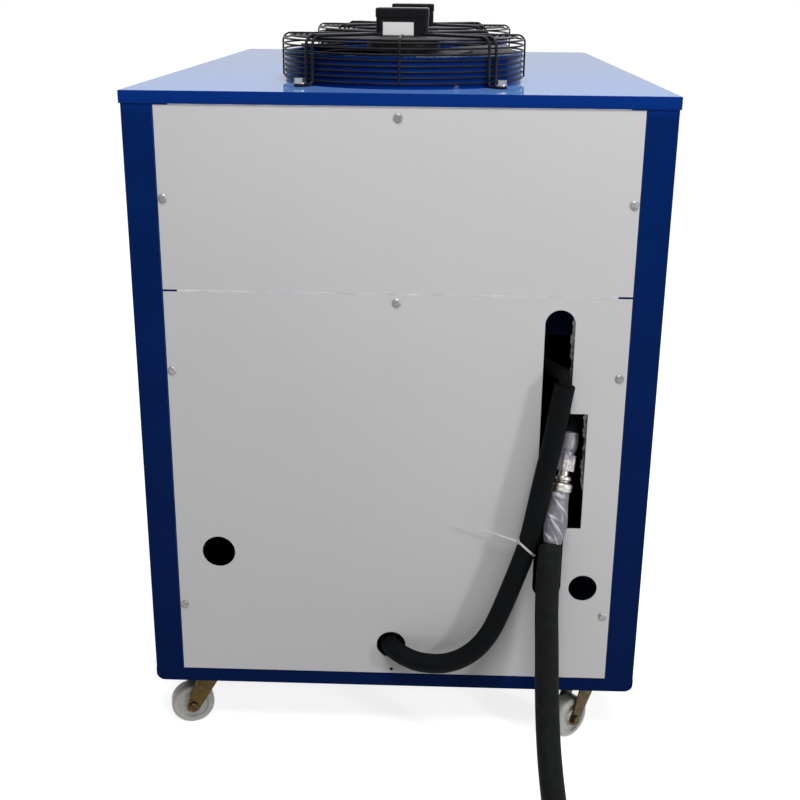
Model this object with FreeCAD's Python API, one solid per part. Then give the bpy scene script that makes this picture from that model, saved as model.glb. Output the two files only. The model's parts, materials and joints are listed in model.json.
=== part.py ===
import FreeCAD, Part
import math
import os

# An air-cooled water chiller on casters. Millimetres, +Z up, floor at z = 0.
# The hose side faces -Y. The origin is on the floor, under the middle of the whole chiller.

V = FreeCAD.Vector
UP = V(0, 0, 1)
SOFT = V(0, 1, 0)

# Cabinet
CAB_W = 700.0
CAB_D = 1080.0
CAB_H = 848.0
HALF_W = CAB_W / 2
SHEET = 1.5
POST_FACE = 40.0
POST_TAB = 20.0
POST_BEND = 2.5
TRAY_RIM = 20.0
TRAY_BEND = 12.0
TRAY_TAB = 20.0
LID_LIP = 16.0
LID_FIT = 0.2
PANEL_GAP = 1.5
SPLIT_Z = 590.0
SPLIT_GAP = 3.0
RAIL_H = 36.0
RAIL_DEPTH = 22.0
SHELF_Z = 530.0
SHELF_LIP = 24.0
SHELF_INSET = 45.0

# Panel screws
SCREW_R = 2.1
SCREW_HEAD_R = 5.75
SCREW_HEAD_H = 2.6
SCREW_LEN = 7.0
SCREW_HOLE_R = 2.6
TAB_HOLE_R = 2.2
SIDE_SCREW_IN = 7.0
TOP_SCREW_DROP = 12.5
JOINT_SCREW_DROP = 10.0
UPPER_SCREW_SHARE = 0.505
LOWER_SCREWS_IN = (105.5, 109.0)
SIDE_SCREWS_IN = (58.5, 50.5)
# The lower panel's right screws stand a little further in, and the lowest a little lower.
RIGHT_SCREWS_IN = 3.2
RIGHT_FOOT_DROP = 4.0

# Openings in the lower panel on the hose side, from the cabinet's middle and bottom
SLOT_X = HALF_W - 133.5
SLOT_W = 40.0
SLOT_LOW = 150.0
SLOT_HIGH = 574.0
NOTCH_RIGHT = SLOT_X + 43.5
NOTCH_LOW = 260.0
NOTCH_HIGH = 430.0
PIPE_HOLE_LEFT = (100.5 - HALF_W, 212.0, 23.25)
PIPE_HOLE_RIGHT = (HALF_W - 82.0, 167.5, 20.0)
HOSE_HOLE = (SLOT_X - 220.1, 68.5, 21.0)
EMPTY_HOLE = (-3.0, 28.0)

# Air inlets in the side panels
INLET_START = 90.0
INLET_END = CAB_D - 230.0
INLET_LOW = SHELF_Z + 32.0
INLET_HIGH = CAB_H - 46.0
INLET_FRAME = 14.0
INLET_DEPTH = 16.0
INLET_RECESS = 1.0
SLAT_PITCH = 24.0
SLAT_T = 1.2
SLAT_TILT = 35.0

# Fans
FAN_X = (-0.5, 3.0)
FAN_REAR_Y = 218.0
FAN_PITCH = 471.0
COLLAR_R = 165.0
COLLAR_T = 2.0
COLLAR_UP = 39.0
COLLAR_DOWN = 34.0
COLLAR_FLANGE = 14.0
COLLAR_FIT = 0.4
GUARD_R = 172.0
GUARD_H = 66.0
ARM_WIRE = 4.0
RING_WIRE = 2.6
ARM_PAIR = 13.0
SHOULDER_R = 14.0
FOOT_BEND = 7.0
BOLT_CIRCLE_R = 186.0
SIDE_RINGS = 8
SIDE_RING_PITCH = 7.2
SIDE_RING_LOW = 7.0
TOP_RINGS = 12
HUB_R = 56.0
HUB_T = 2.0
STATOR_R = 40.0
STATOR_FLANGE_R = 45.0
STATOR_FLANGE_T = 6.0
STATOR_H = 44.0
SHAFT_R = 6.0
SHAFT_PLAY = 0.05
ROTOR_R = 51.0
ROTOR_WALL = 4.0
ROTOR_GAP = 1.0
ROTOR_H = 52.0
BLADES = 5
BLADE_R = 156.0
BLADE_T = 2.0
BLADE_ROOT_CHORD = 62.0
BLADE_TIP_CHORD = 118.0
BLADE_ROOT_PITCH = 40.0
BLADE_TIP_PITCH = 24.0
BOX_W = 73.0
BOX_H = 24.0
BOX_SHIFT = -1.5
BOX_LID_H = 12.0
BOX_LID_LAP = 1.0
BOX_CORNER = 5.0
PLATE_W = 42.0
PLATE_H = 17.0
PLATE_T = 0.6
PLATE_SHIFT = -5.0
PLATE_LIFT = 0.5

# Hex bolts of the guards and the casters
BOLT_R = 4.0
BOLT_AF = 13.0
BOLT_HEAD = 5.5
WASHER_R = 8.5
WASHER_T = 1.6

# Casters
CASTER_H = 92.0
CASTER_X = 281.0
CASTER_Y = 46.0
WHEEL_R = 32.0
WHEEL_W = 26.0
WHEEL_EDGE = 6.0
HUB_BOSS_R = 11.0
TRAIL = 27.0
AXLE_R = 4.0
AXLE_PLAY = 0.05
AXLE_HEAD_R = 6.5
AXLE_HEAD_H = 4.0
CHEEK_T = 2.5
CHEEK_GAP = 1.5
CHEEK_END_R = 10.0
CROWN_R = 24.0
CROWN_T = 2.5
PLATE_SIZE = 60.0
PLATE_THICK = 2.5
PLATE_ROUND = 6.0
PLATE_BOLT = 23.0
RACE_R = 19.0
RACE_H = 7.0
KINGPIN_R = 6.0
KINGPIN_PLAY = 0.05
KINGPIN_HEAD_R = 10.0
KINGPIN_HEAD_H = 3.0
RUN_GAP = 0.3
CASTERS = {
    "rear_left": (-1, 0, 195.0),
    "rear_right": (1, 0, 222.0),
    "front_left": (-1, 1, 160.0),
    "front_right": (1, 1, 205.0),
}

# Inside
COIL_T = 44.0
COIL_START = INLET_START - 10.0
COIL_END = INLET_END + 12.0
COIL_H = CAB_H - SHELF_Z - 32.0
COIL_PLATE = 2.0
COIL_SPINE = 8.0
FIN_PITCH = 14.0
FIN_T = 3.0
BEND_R = 11.0
BEND_TUBE_R = 4.8
COMPRESSOR_AT = (HALF_W - 200.0, 300.0)
COMPRESSOR_R = 88.0
COMPRESSOR_H = 370.0
COMPRESSOR_FOOT = 22.0
TANK_X = (50.0 - HALF_W, 60.0)
TANK_Y = (500.0, CAB_D - 100.0)
TANK_H = 400.0
TANK_T = 2.0
TANK_LID = 12.0
PUMP_AT = (160.0 - HALF_W, 300.0)
PUMP_R = 62.0
PUMP_L = 210.0
PUMP_AXIS = 105.0
PUMP_OUT_X = 70.0
PUMP_NECK = 40.0
RECEIVER_AT = (HALF_W - 150.0, 560.0)
RECEIVER_R = 60.0
RECEIVER_H = 300.0
BOX_Y = (COIL_END + 6.0, CAB_D - 70.0)
BOX_X = HALF_W - 110.0
EBOX_H = CAB_H - SHELF_Z - 48.0
SUPPLY_TURNS = [(HALF_W - 112.0, 146.0, 390.0), (HALF_W - 112.0, 146.0, 250.0), (40.0, 146.0, 250.0)]
RETURN_TURN = (60.0, 200.0, 462.0)

# Controls in the upper front panel
CONTROL_DROP = 133.0
SWITCH_AT = (140.0, CAB_H - CONTROL_DROP)
CONTROL_AT = (-20.0, CAB_H - CONTROL_DROP)
CONTROL_W = 78.0
CONTROL_H = 36.0
CONTROL_DEPTH = 60.0
CONTROL_RIM = 5.0
CONTROL_PROUD = 5.0
KNOB_R = 24.0
KNOB_PROUD = 20.0
KNOB_SHAFT_R = 4.0
KNOB_PLAY = 0.05
SWITCH_DEPTH = 36.0

# Fitting in the notch. The line runs from inside the notch, down and out to the hanging hose.
# As in the hoses, x is from the slot's middle.
FIT_TOP = (24.5, 28.0, 405.0)
FIT_END = (1.0, -31.0, 244.0)
BODY_LEN = 30.0
BODY_R = 14.0
HEX_LEN = 22.0
HEX_AF = 28.0
NIPPLE_LEN = 7.0
NIPPLE_R = 8.0
COLLAR_NUT_LEN = 9.0
COLLAR_NUT_R = 13.5
CLAMP_LEN = 14.0
CLAMP_R = 16.5
TAIL_R = 12.5
FILM_T = 1.2
PIPE_R = 14.0

# Hoses: radius, and points as (x from the slot's middle, y from the hose side, z from the cabinet's bottom)
LOOP_R = 14.0
LOOP_BARE_R = 9.0
LOOP_POINTS = [
    (8.4, -17.0, 475.8),
    (3.0, -17.5, 440.0),
    (-5.5, -19.5, 384.8),
    (-16.8, -21.5, 325.9),
    (-27.0, -23.0, 261.3),
    (-37.5, -23.5, 222.0),
    (-54.0, -24.0, 172.0),
    (-69.5, -25.0, 128.0),
    (-84.0, -26.0, 97.0),
    (-107.0, -26.5, 70.5),
    (-139.5, -26.5, 54.5),
    (-175.0, -24.5, 54.0),
    (-198.0, -19.5, 60.0),
    (-214.5, -9.0, 65.0),
    (-223.0, 8.0, 66.5),
    (-224.5, 25.0, 67.0),
]
HOSE_R = 17.0
HOSE_LEAD = 28.0
HOSE_POINTS = [
    (-1.5, -46.0, 160.0),
    (1.3, -50.0, 98.0),
    (3.0, -68.0, 30.0),
    (4.5, -110.0, -28.0),
    (7.5, -172.0, -65.0),
    (10.5, -240.0, -75.0),
    (11.5, -304.0, -75.0),
]
COIL_RADII = (204.0, 193.0, 182.0, 171.0, 160.0)
COIL_LEAD = 62.0
END_NUT_R = 15.0
END_NUT_L = 22.0
END_STUB_R = 10.0
END_STUB_L = 26.0

TIE_AT = 0.12
TIE_LEAN = -0.35
TIE_GAP = 2.0
TIE_W = 3.2
TIE_T = 1.3
TIE_TAIL = 60.0

# Silvery strip behind the slot's and the notch's right edges, as (x from the slot's middle, z)
STRIP_T = 0.8
STRIP_POINTS = [
    (39.5, 330.0), (46.5, 333.0), (46.0, 441.0), (32.0, 446.0), (30.0, 560.0),
    (14.0, 563.0), (13.0, 470.0), (24.5, 466.0), (25.0, 437.0), (38.0, 433.0),
]

# The whole chiller's middle lies under the origin, with the knob and the screw heads counted.
REAR_Y = -(CAB_D + KNOB_PROUD - SCREW_HEAD_H) / 2
TOP = CASTER_H + CAB_H
LID_TOP = V(0, REAR_Y, TOP)


def at(x, y, z):
    """A point given from the cabinet's middle, its hose side and its bottom."""
    return V(x, REAR_Y + y, CASTER_H + z)


def at_slot(x, y, z):
    """The same, with x from the slot's middle."""
    return at(SLOT_X + x, y, z)


def block(x, y, z):
    """A box between two values of x, of y from the hose side, and of z from the cabinet's bottom."""
    corner = at(min(x), min(y), min(z))
    return Part.makeBox(max(x) - min(x), max(y) - min(y), max(z) - min(z), corner)


def extrude(points, along):
    return Part.Face(Part.makePolygon(points + points[:1])).extrude(along)


def union(shapes):
    return shapes[0].multiFuse(shapes[1:]).removeSplitter()


def mirror_y(shape):
    """The same piece for the other end of the cabinet."""
    return shape.mirror(at(0, CAB_D / 2, 0), V(0, 1, 0))


def mirror_x(shape):
    return shape.mirror(V(0, 0, 0), V(1, 0, 0))


def spin(points, place, axis):
    """A solid of revolution. Points are (radius, height along the axis) and the axis starts at place."""
    face = Part.Face(Part.makePolygon([V(r, 0, h) for r, h in points + points[:1]]))
    solid = face.revolve(V(0, 0, 0), UP, 360)
    solid.Placement = FreeCAD.Placement(place, FreeCAD.Rotation(UP, axis))
    return solid


def hex_prism(flats, height, place, axis, bore=0.0):
    corner = flats / math.sqrt(3)
    ring = [V(corner * math.cos(i * math.pi / 3), corner * math.sin(i * math.pi / 3), 0) for i in range(6)]
    solid = extrude(ring, V(0, 0, height))
    if bore:
        solid = solid.cut(Part.makeCylinder(bore, height))
    solid.Placement = FreeCAD.Placement(place, FreeCAD.Rotation(UP, axis))
    return solid


def route(points, bend=None):
    """Straight runs joined by tangent arcs. Gives the wire and each arc's radius."""
    edges = []
    radii = []
    start = points[0]
    for before, corner, after in zip(points, points[1:], points[2:]):
        into = (corner - before).normalize()
        out = (after - corner).normalize()
        turn = into.getAngle(out)
        run = min(corner.distanceToPoint(before), after.distanceToPoint(corner))
        radius = bend or 0.45 * run / math.tan(turn / 2)
        cut = radius * math.tan(turn / 2)
        first = corner - into * cut
        last = corner + out * cut
        middle = corner + (out - into).normalize() * (radius / math.cos(turn / 2) - radius)
        edges.append(Part.LineSegment(start, first).toShape())
        edges.append(Part.Arc(first, middle, last).toShape())
        radii.append(radius)
        start = last
    edges.append(Part.LineSegment(start, points[-1]).toShape())
    return Part.Wire(edges), radii


def sweep(path, radius):
    """A round tube along a path of lines and arcs."""
    edge = path.OrderedEdges[0]
    start = edge.valueAt(edge.FirstParameter)
    heading = edge.tangentAt(edge.FirstParameter)
    ring = Part.Wire([Part.Circle(start, heading, radius).toShape()])
    return path.makePipeShell([ring], True, False)


def tube(points, radius, bend=None):
    return sweep(route(points, bend)[0], radius)


def cord(name, points, radius):
    """A hose's tube. Prints its tightest arcs and how its volume compares with its length."""
    path, radii = route(points)
    solid = sweep(path, radius)
    share = solid.Volume / (math.pi * radius**2 * path.Length)
    rounded = [round(r) for r in radii]
    print(name, "radii", rounded, "length", round(path.Length), "share", round(share, 4))
    return solid


def rear_screws():
    """(x, z) of the screws in the upper panel and in the lower panel."""
    side = HALF_W - POST_FACE - PANEL_GAP - SIDE_SCREW_IN + 0.5
    low, high = upper_span()
    between = low + (high - low) * UPPER_SCREW_SHARE
    upper = [(0, high - TOP_SCREW_DROP), (-side, between), (side, between)]
    low, high = lower_span()
    foot = low + LOWER_SCREWS_IN[0]
    head = high - LOWER_SCREWS_IN[1]
    right = side - RIGHT_SCREWS_IN
    lower = [(0, high - JOINT_SCREW_DROP), (-side, head), (right, head), (-side, foot)]
    lower.append((right, foot - RIGHT_FOOT_DROP))
    return upper, lower


def side_screws():
    """(y, z) of the screws along a side panel's two upright edges."""
    inset = POST_FACE + PANEL_GAP + SIDE_SCREW_IN
    foot = lower_span()[0] + SIDE_SCREWS_IN[0]
    head = upper_span()[1] - SIDE_SCREWS_IN[1]
    return [(y, z) for y in (inset, CAB_D - inset) for z in (foot, (foot + head) / 2, head)]


def drill_y(shape, spots, radius, both_ends):
    """Holes through the sheets at the hose side, and at the far side too."""
    for x, z in spots:
        hole = Part.makeCylinder(radius, SHEET * 4, at(x, -SHEET, z), SOFT)
        shape = shape.cut(hole)
        if both_ends:
            shape = shape.cut(mirror_y(hole))
    return shape


def drill_x(shape, spots, radius):
    for y, z in spots:
        for side in (-1, 1):
            start = at(side * (HALF_W + SHEET), y, z)
            shape = shape.cut(Part.makeCylinder(radius, SHEET * 4, start, V(-side, 0, 0)))
    return shape


def base_tray():
    """The bottom tray: round bends along both sides, a rim all round and tabs behind the panels."""
    outer = block((-HALF_W, HALF_W), (0, CAB_D), (0, TRAY_RIM))
    lower = [e for e in outer.Edges if abs(e.CenterOfMass.z - CASTER_H) < 1e-6 and abs(e.CenterOfMass.x) > 1]
    outer = outer.makeFillet(TRAY_BEND, lower)
    inner = block((SHEET - HALF_W, HALF_W - SHEET), (SHEET, CAB_D - SHEET), (SHEET, TRAY_RIM))
    floor = CASTER_H + SHEET
    lower = [e for e in inner.Edges if abs(e.CenterOfMass.z - floor) < 1e-6 and abs(e.CenterOfMass.x) > 1]
    inner = inner.makeFillet(TRAY_BEND - SHEET, lower)
    tray = outer.cut(inner)
    reach = HALF_W - POST_FACE - POST_TAB
    rise = (TRAY_RIM - SHEET, TRAY_RIM + TRAY_TAB)
    end = block((-reach, reach), (SHEET, 2 * SHEET), rise)
    start = POST_FACE + POST_TAB
    side = block((HALF_W - 2 * SHEET, HALF_W - SHEET), (start, CAB_D - start), rise)
    tray = union([tray, end, mirror_y(end), side, mirror_x(side)])
    for x, y in caster_bolt_spots():
        tray = tray.cut(Part.makeCylinder(BOLT_R + 0.3, SHEET * 2, V(x, y, CASTER_H - SHEET / 2)))
    return drill_y(tray, [EMPTY_HOLE], TAB_HOLE_R, False)


def post(near):
    """A folded corner post: two faces with a rebate and a tab behind each panel's edge."""
    t = SHEET
    face = POST_FACE
    deep = POST_FACE + POST_TAB
    outline = [
        (0, 0), (face, 0), (face, t), (deep, t), (deep, 2 * t), (face - t, 2 * t), (face - t, t), (t, t),
        (t, face - t), (2 * t, face - t), (2 * t, deep), (t, deep), (t, face), (0, face),
    ]
    points = [at(HALF_W - x, y, TRAY_RIM) for x, y in outline]
    solid = extrude(points, V(0, 0, CAB_H - SHEET - TRAY_RIM))
    corner = [e for e in solid.Edges if e.Length > CAB_H / 2 and abs(e.CenterOfMass.x - HALF_W) < 1e-6
              and abs(e.CenterOfMass.y - REAR_Y) < 1e-6]
    solid = solid.makeFillet(POST_BEND, corner)
    upper, lower = rear_screws()
    pair = []
    for one in (solid, mirror_x(solid)):
        one = drill_y(one, upper + lower, TAB_HOLE_R, False)
        pair.append(drill_x(one, side_screws(), TAB_HOLE_R))
    pair = Part.makeCompound(pair)
    return pair if near else mirror_y(pair)


def rail(z, holes):
    """A folded channel across the cabinet, behind the panels, between the posts' tabs."""
    reach = HALF_W - POST_FACE - POST_TAB
    t = SHEET
    deep = RAIL_DEPTH
    high = RAIL_H
    outline = [(t, 0), (deep, 0), (deep, t), (2 * t, t), (2 * t, high - t), (deep, high - t), (deep, high)]
    outline.append((t, high))
    solid = extrude([at(-reach, y, z + h) for y, h in outline], V(2 * reach, 0, 0))
    return drill_y(solid, holes, TAB_HOLE_R, False)


def cross_rails():
    upper, lower = rear_screws()
    middle = rail(SPLIT_Z + SPLIT_GAP / 2 - RAIL_H / 2, [lower[0]])
    top = rail(CAB_H - SHEET - RAIL_H, [upper[0]])
    return Part.makeCompound([middle, top, mirror_y(middle), mirror_y(top)])


def mid_shelf():
    """A folded shelf that carries the condensers and the electric box."""
    inside = HALF_W - 2 * SHEET
    near = SHELF_INSET
    t = SHEET
    low = SHELF_Z - SHELF_LIP
    outline = [(-inside, low), (t - inside, low), (t - inside, SHELF_Z - t), (inside - t, SHELF_Z - t),
               (inside - t, low), (inside, low), (inside, SHELF_Z), (-inside, SHELF_Z)]
    return extrude([at(x, near, z) for x, z in outline], V(0, CAB_D - 2 * near, 0))


def fan_places():
    return [at(x, FAN_REAR_Y + i * FAN_PITCH, CAB_H) for i, x in enumerate(FAN_X)]


def lid():
    """The top cover: a folded pan whose lip overlaps the posts, with two fan holes."""
    over = HALF_W + LID_FIT + SHEET
    past = LID_FIT + SHEET
    outer = block((-over, over), (-past, CAB_D + past), (CAB_H - LID_LIP, CAB_H))
    outer = outer.makeFillet(1.2, [e for e in outer.Edges if e.CenterOfMass.z > TOP - LID_LIP + 1])
    fit = LID_FIT
    inner = block((-HALF_W - fit, HALF_W + fit), (-fit, CAB_D + fit), (CAB_H - LID_LIP, CAB_H - SHEET))
    solid = outer.cut(inner)
    for place in fan_places():
        below = place - UP * SHEET * 2
        solid = solid.cut(Part.makeCylinder(COLLAR_R + COLLAR_FIT, SHEET * 4, below))
        for x, y in guard_bolt_spots(place):
            solid = solid.cut(Part.makeCylinder(BOLT_R + 0.3, SHEET * 4, V(x, y, below.z)))
    return solid


def end_panel(low, high):
    reach = HALF_W - POST_FACE - PANEL_GAP
    return block((-reach, reach), (0, SHEET), (low, high))


def upper_span():
    return SPLIT_Z + SPLIT_GAP, CAB_H - LID_LIP - PANEL_GAP


def lower_span():
    return TRAY_RIM + PANEL_GAP, SPLIT_Z


def rear_upper_panel():
    return drill_y(end_panel(*upper_span()), rear_screws()[0], SCREW_HOLE_R, False)


def rear_lower_panel():
    """The hose panel, with the slot, its notch, the round holes and the empty screw hole."""
    panel = end_panel(*lower_span())
    half = SLOT_W / 2
    through = (-SHEET, 2 * SHEET)
    slot = block((SLOT_X - half, SLOT_X + half), through, (SLOT_LOW + half, SLOT_HIGH - half))
    panel = panel.cut(slot)
    for z in (SLOT_LOW + half, SLOT_HIGH - half):
        panel = panel.cut(Part.makeCylinder(half, 3 * SHEET, at(SLOT_X, -SHEET, z), SOFT))
    panel = panel.cut(block((SLOT_X, NOTCH_RIGHT), through, (NOTCH_LOW, NOTCH_HIGH)))
    for x, z, r in (PIPE_HOLE_LEFT, PIPE_HOLE_RIGHT, HOSE_HOLE):
        panel = panel.cut(Part.makeCylinder(r, 3 * SHEET, at(x, -SHEET, z), SOFT))
    return drill_y(panel, rear_screws()[1] + [EMPTY_HOLE], SCREW_HOLE_R, False)


def front_panels():
    upper = drill_y(end_panel(*upper_span()), rear_screws()[0], SCREW_HOLE_R, False)
    lower = drill_y(end_panel(*lower_span()), rear_screws()[1], SCREW_HOLE_R, False)
    upper = mirror_y(upper)
    x, z = SWITCH_AT
    upper = upper.cut(Part.makeCylinder(KNOB_SHAFT_R + 2, 4 * SHEET, at(x, CAB_D - 2 * SHEET, z), SOFT))
    x, z = CONTROL_AT
    hole = block((x - CONTROL_W / 2, x + CONTROL_W / 2), (CAB_D - 2 * SHEET, CAB_D + SHEET),
                 (z - CONTROL_H / 2, z + CONTROL_H / 2))
    return upper.cut(hole), mirror_y(lower)


def side_panel():
    """The right side panel, with its air inlet."""
    start = POST_FACE + PANEL_GAP
    panel = block((HALF_W - SHEET, HALF_W), (start, CAB_D - start), (TRAY_RIM + PANEL_GAP, upper_span()[1]))
    inlet = block((HALF_W - 2 * SHEET, HALF_W + SHEET), (INLET_START, INLET_END), (INLET_LOW, INLET_HIGH))
    return drill_x(panel.cut(inlet), side_screws(), SCREW_HOLE_R)


def inlet_grille():
    """A framed row of tilted slats in the right side's air inlet."""
    deep = (HALF_W - INLET_RECESS - INLET_DEPTH, HALF_W - INLET_RECESS)
    outer = block(deep, (INLET_START, INLET_END), (INLET_LOW, INLET_HIGH))
    y = (INLET_START + INLET_FRAME, INLET_END - INLET_FRAME)
    z = (INLET_LOW + INLET_FRAME, INLET_HIGH - INLET_FRAME)
    frame = outer.cut(block(deep, y, z))
    count = int((z[1] - z[0]) / SLAT_PITCH)
    first = (z[0] + z[1] - (count - 1) * SLAT_PITCH) / 2
    lean = math.radians(SLAT_TILT)
    fall = INLET_DEPTH * math.tan(lean)
    tall = SLAT_T / math.cos(lean)
    slats = []
    for i in range(count):
        top = first + i * SLAT_PITCH + fall / 2
        outline = [(deep[0], top), (deep[1], top - fall), (deep[1], top - fall - tall), (deep[0], top - tall)]
        slats.append(extrude([at(x, y[0] - 1, h) for x, h in outline], V(0, y[1] - y[0] + 2, 0)))
    return union([frame] + slats)


def pan_screw(place, out):
    """A pan-head screw. Place is on the panel's face and out is the way its head stands."""
    rim = SCREW_HEAD_H * 0.45
    crown = SCREW_HEAD_R * 0.55
    points = [(0, -SCREW_LEN), (SCREW_R, -SCREW_LEN), (SCREW_R, 0), (SCREW_HEAD_R, 0), (SCREW_HEAD_R, rim),
              (crown + 1.2, SCREW_HEAD_H * 0.88), (crown, SCREW_HEAD_H), (0, SCREW_HEAD_H)]
    return spin(points, place, out)


def panel_screws():
    upper, lower = rear_screws()
    rear = [pan_screw(at(x, 0, z), V(0, -1, 0)) for x, z in upper + lower]
    right = [pan_screw(at(HALF_W, y, z), V(1, 0, 0)) for y, z in side_screws()]
    return Part.makeCompound(rear + [mirror_y(s) for s in rear] + right + [mirror_x(s) for s in right])


def fan_collar(place):
    """The ring round the blades, with a rolled top edge and a flange under the lid."""
    inner = COLLAR_R - COLLAR_T
    flange = -SHEET
    points = [(inner, -COLLAR_DOWN), (COLLAR_R, -COLLAR_DOWN), (COLLAR_R, flange - COLLAR_T),
              (COLLAR_R + COLLAR_FLANGE, flange - COLLAR_T), (COLLAR_R + COLLAR_FLANGE, flange),
              (COLLAR_R, flange), (COLLAR_R, COLLAR_UP), (inner, COLLAR_UP)]
    ring = spin(points, place, UP)
    bead = Part.makeTorus(COLLAR_R - COLLAR_T / 2, COLLAR_T, place + UP * COLLAR_UP)
    return ring.fuse(bead)


def arm_angles():
    return [math.radians(45 + 90 * i) for i in range(4)]


def guard_bolt_spots(place):
    spots = []
    for a in arm_angles():
        spots.append((place.x + BOLT_CIRCLE_R * math.cos(a), place.y + BOLT_CIRCLE_R * math.sin(a)))
    return spots


def guard_arm(place, angle):
    """A doubled wire arm: out from the hub, down over the shoulder, round its foot bolt and back."""
    half = ARM_PAIR / 2
    top = GUARD_H - ARM_WIRE / 2
    foot = ARM_WIRE / 2
    upright = GUARD_R - ARM_WIRE / 2

    def one_side(side):
        spots = [(HUB_R - 8, top), (upright, top), (upright, foot), (BOLT_CIRCLE_R, foot)]
        corners = [V(r, side, z) for r, z in spots]
        edges = []
        start = corners[0]
        for before, corner, after, bend in zip(corners, corners[1:], corners[2:], (SHOULDER_R, FOOT_BEND)):
            into = (corner - before).normalize()
            out = (after - corner).normalize()
            first = corner - into * bend
            last = corner + out * bend
            middle = corner + (out - into).normalize() * bend * (math.sqrt(2) - 1)
            edges.append(Part.LineSegment(start, first).toShape())
            edges.append(Part.Arc(first, middle, last).toShape())
            start = last
        edges.append(Part.LineSegment(start, corners[-1]).toShape())
        return edges

    going = one_side(half)
    coming = one_side(-half)
    bolt = BOLT_CIRCLE_R
    eye = Part.Arc(V(bolt, half, foot), V(bolt + half, 0, foot), V(bolt, -half, foot))
    path = Part.Wire(going + [eye.toShape()] + coming[::-1])
    arm = sweep(path, ARM_WIRE / 2)
    arm.rotate(V(0, 0, 0), UP, math.degrees(angle))
    arm.translate(place)
    return arm


def fan_guard(place):
    """The wire basket: welded rings inside doubled arms, single stays between them, and the hub plate."""
    touch = ARM_WIRE / 2 + RING_WIRE / 2
    side_r = GUARD_R - ARM_WIRE / 2 - touch
    top_z = GUARD_H - ARM_WIRE / 2 - touch
    wires = [guard_arm(place, a) for a in arm_angles()]
    for i in range(SIDE_RINGS):
        height = SIDE_RING_LOW + i * SIDE_RING_PITCH
        wires.append(Part.makeTorus(side_r, RING_WIRE / 2, place + UP * height))
    outermost = side_r - 9
    step = (outermost - HUB_R - 6) / (TOP_RINGS - 1)
    for i in range(TOP_RINGS):
        wires.append(Part.makeTorus(outermost - i * step, RING_WIRE / 2, place + UP * top_z))
    high = top_z + RING_WIRE
    wall = side_r + RING_WIRE
    for i in range(4):
        corners = [V(HUB_R - 8, 0, high), V(wall, 0, high), V(wall, 0, SIDE_RING_LOW)]
        stay = tube(corners, RING_WIRE / 2, SHOULDER_R - touch)
        stay.rotate(V(0, 0, 0), UP, 90 * i)
        stay.translate(place)
        wires.append(stay)
    hub_top = place + UP * (GUARD_H - ARM_WIRE - HUB_T)
    hub = Part.makeCylinder(HUB_R, HUB_T, hub_top)
    return Part.makeCompound(wires + [hub])


def fan_motor(place):
    """The still half of the outer-rotor motor: its flange under the guard's hub, the core and the shaft."""
    top = GUARD_H - ARM_WIRE - HUB_T
    core = top - STATOR_FLANGE_T - STATOR_H
    end = top - STATOR_FLANGE_T - ROTOR_H - 4
    points = [(0, end), (SHAFT_R, end), (SHAFT_R, core), (STATOR_R, core), (STATOR_R, top - STATOR_FLANGE_T),
              (STATOR_FLANGE_R, top - STATOR_FLANGE_T), (STATOR_FLANGE_R, top), (0, top)]
    return spin(points, place, UP)


def blade_section(radius, chord, pitch, mid_z):
    """One cross-section of a blade: a thin cambered strip, square to the radius."""
    lean = math.radians(pitch)
    camber = chord * 0.09
    run = math.cos(lean)
    rise = math.sin(lean)

    def spot(along, off):
        return V(radius, along * run - off * rise, mid_z + along * rise + off * run)

    half = chord / 2
    low = Part.Arc(spot(-half, 0), spot(0, camber), spot(half, 0)).toShape()
    high = Part.Arc(spot(half, BLADE_T), spot(0, camber + BLADE_T), spot(-half, BLADE_T)).toShape()
    ends = [
        Part.LineSegment(spot(half, 0), spot(half, BLADE_T)).toShape(),
        Part.LineSegment(spot(-half, BLADE_T), spot(-half, 0)).toShape(),
    ]
    return Part.Wire([low, ends[0], high, ends[1]])


def fan_rotor(place):
    """The turning half: a cup round the stator with a bushed floor, and cambered, twisted blades."""
    top = GUARD_H - ARM_WIRE - HUB_T - STATOR_FLANGE_T - ROTOR_GAP
    floor = top - ROTOR_H
    inner = ROTOR_R - ROTOR_WALL
    bore = SHAFT_R + SHAFT_PLAY
    points = [(bore, floor), (ROTOR_R - 3, floor), (ROTOR_R, floor + 3), (ROTOR_R, top), (inner, top),
              (inner, floor + 5), (bore, floor + 5)]
    cup = spin(points, V(0, 0, 0), UP)
    middle = (top + floor) / 2 - 6
    root = ROTOR_R - 2.5
    steps = [0.0, 0.5, 1.0]
    sections = []
    for s in steps:
        radius = root + (BLADE_R - root) * s
        chord = BLADE_ROOT_CHORD + (BLADE_TIP_CHORD - BLADE_ROOT_CHORD) * s
        pitch = BLADE_ROOT_PITCH + (BLADE_TIP_PITCH - BLADE_ROOT_PITCH) * s
        sections.append(blade_section(radius, chord, pitch, middle))
    blade = Part.makeLoft(sections, True, False)
    rim = Part.makeCylinder(BLADE_R, 400, V(0, 0, -200))
    blade = blade.common(rim).cut(Part.makeCylinder(ROTOR_R - 1.5, 400, V(0, 0, -200)))
    blades = []
    for i in range(BLADES):
        copy = blade.copy()
        copy.rotate(V(0, 0, 0), UP, 360 / BLADES * i)
        blades.append(copy)
    rotor = cup.multiFuse(blades)
    rotor.translate(place)
    return rotor


def rounded_box(width, depth, height, radius, base):
    """A box with round upright edges, its base centred on a point."""
    solid = Part.makeBox(width, depth, height, base - V(width / 2, depth / 2, 0))
    upright = [e for e in solid.Edges if abs(e.Length - height) < 1e-6 and abs(e.tangentAt(0).z) > 0.9]
    return solid.makeFillet(radius, upright)


def box_base(place):
    """The middle of the terminal box's underside, on the guard's hub plate."""
    return place + V(BOX_SHIFT, 0, GUARD_H - ARM_WIRE)


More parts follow.
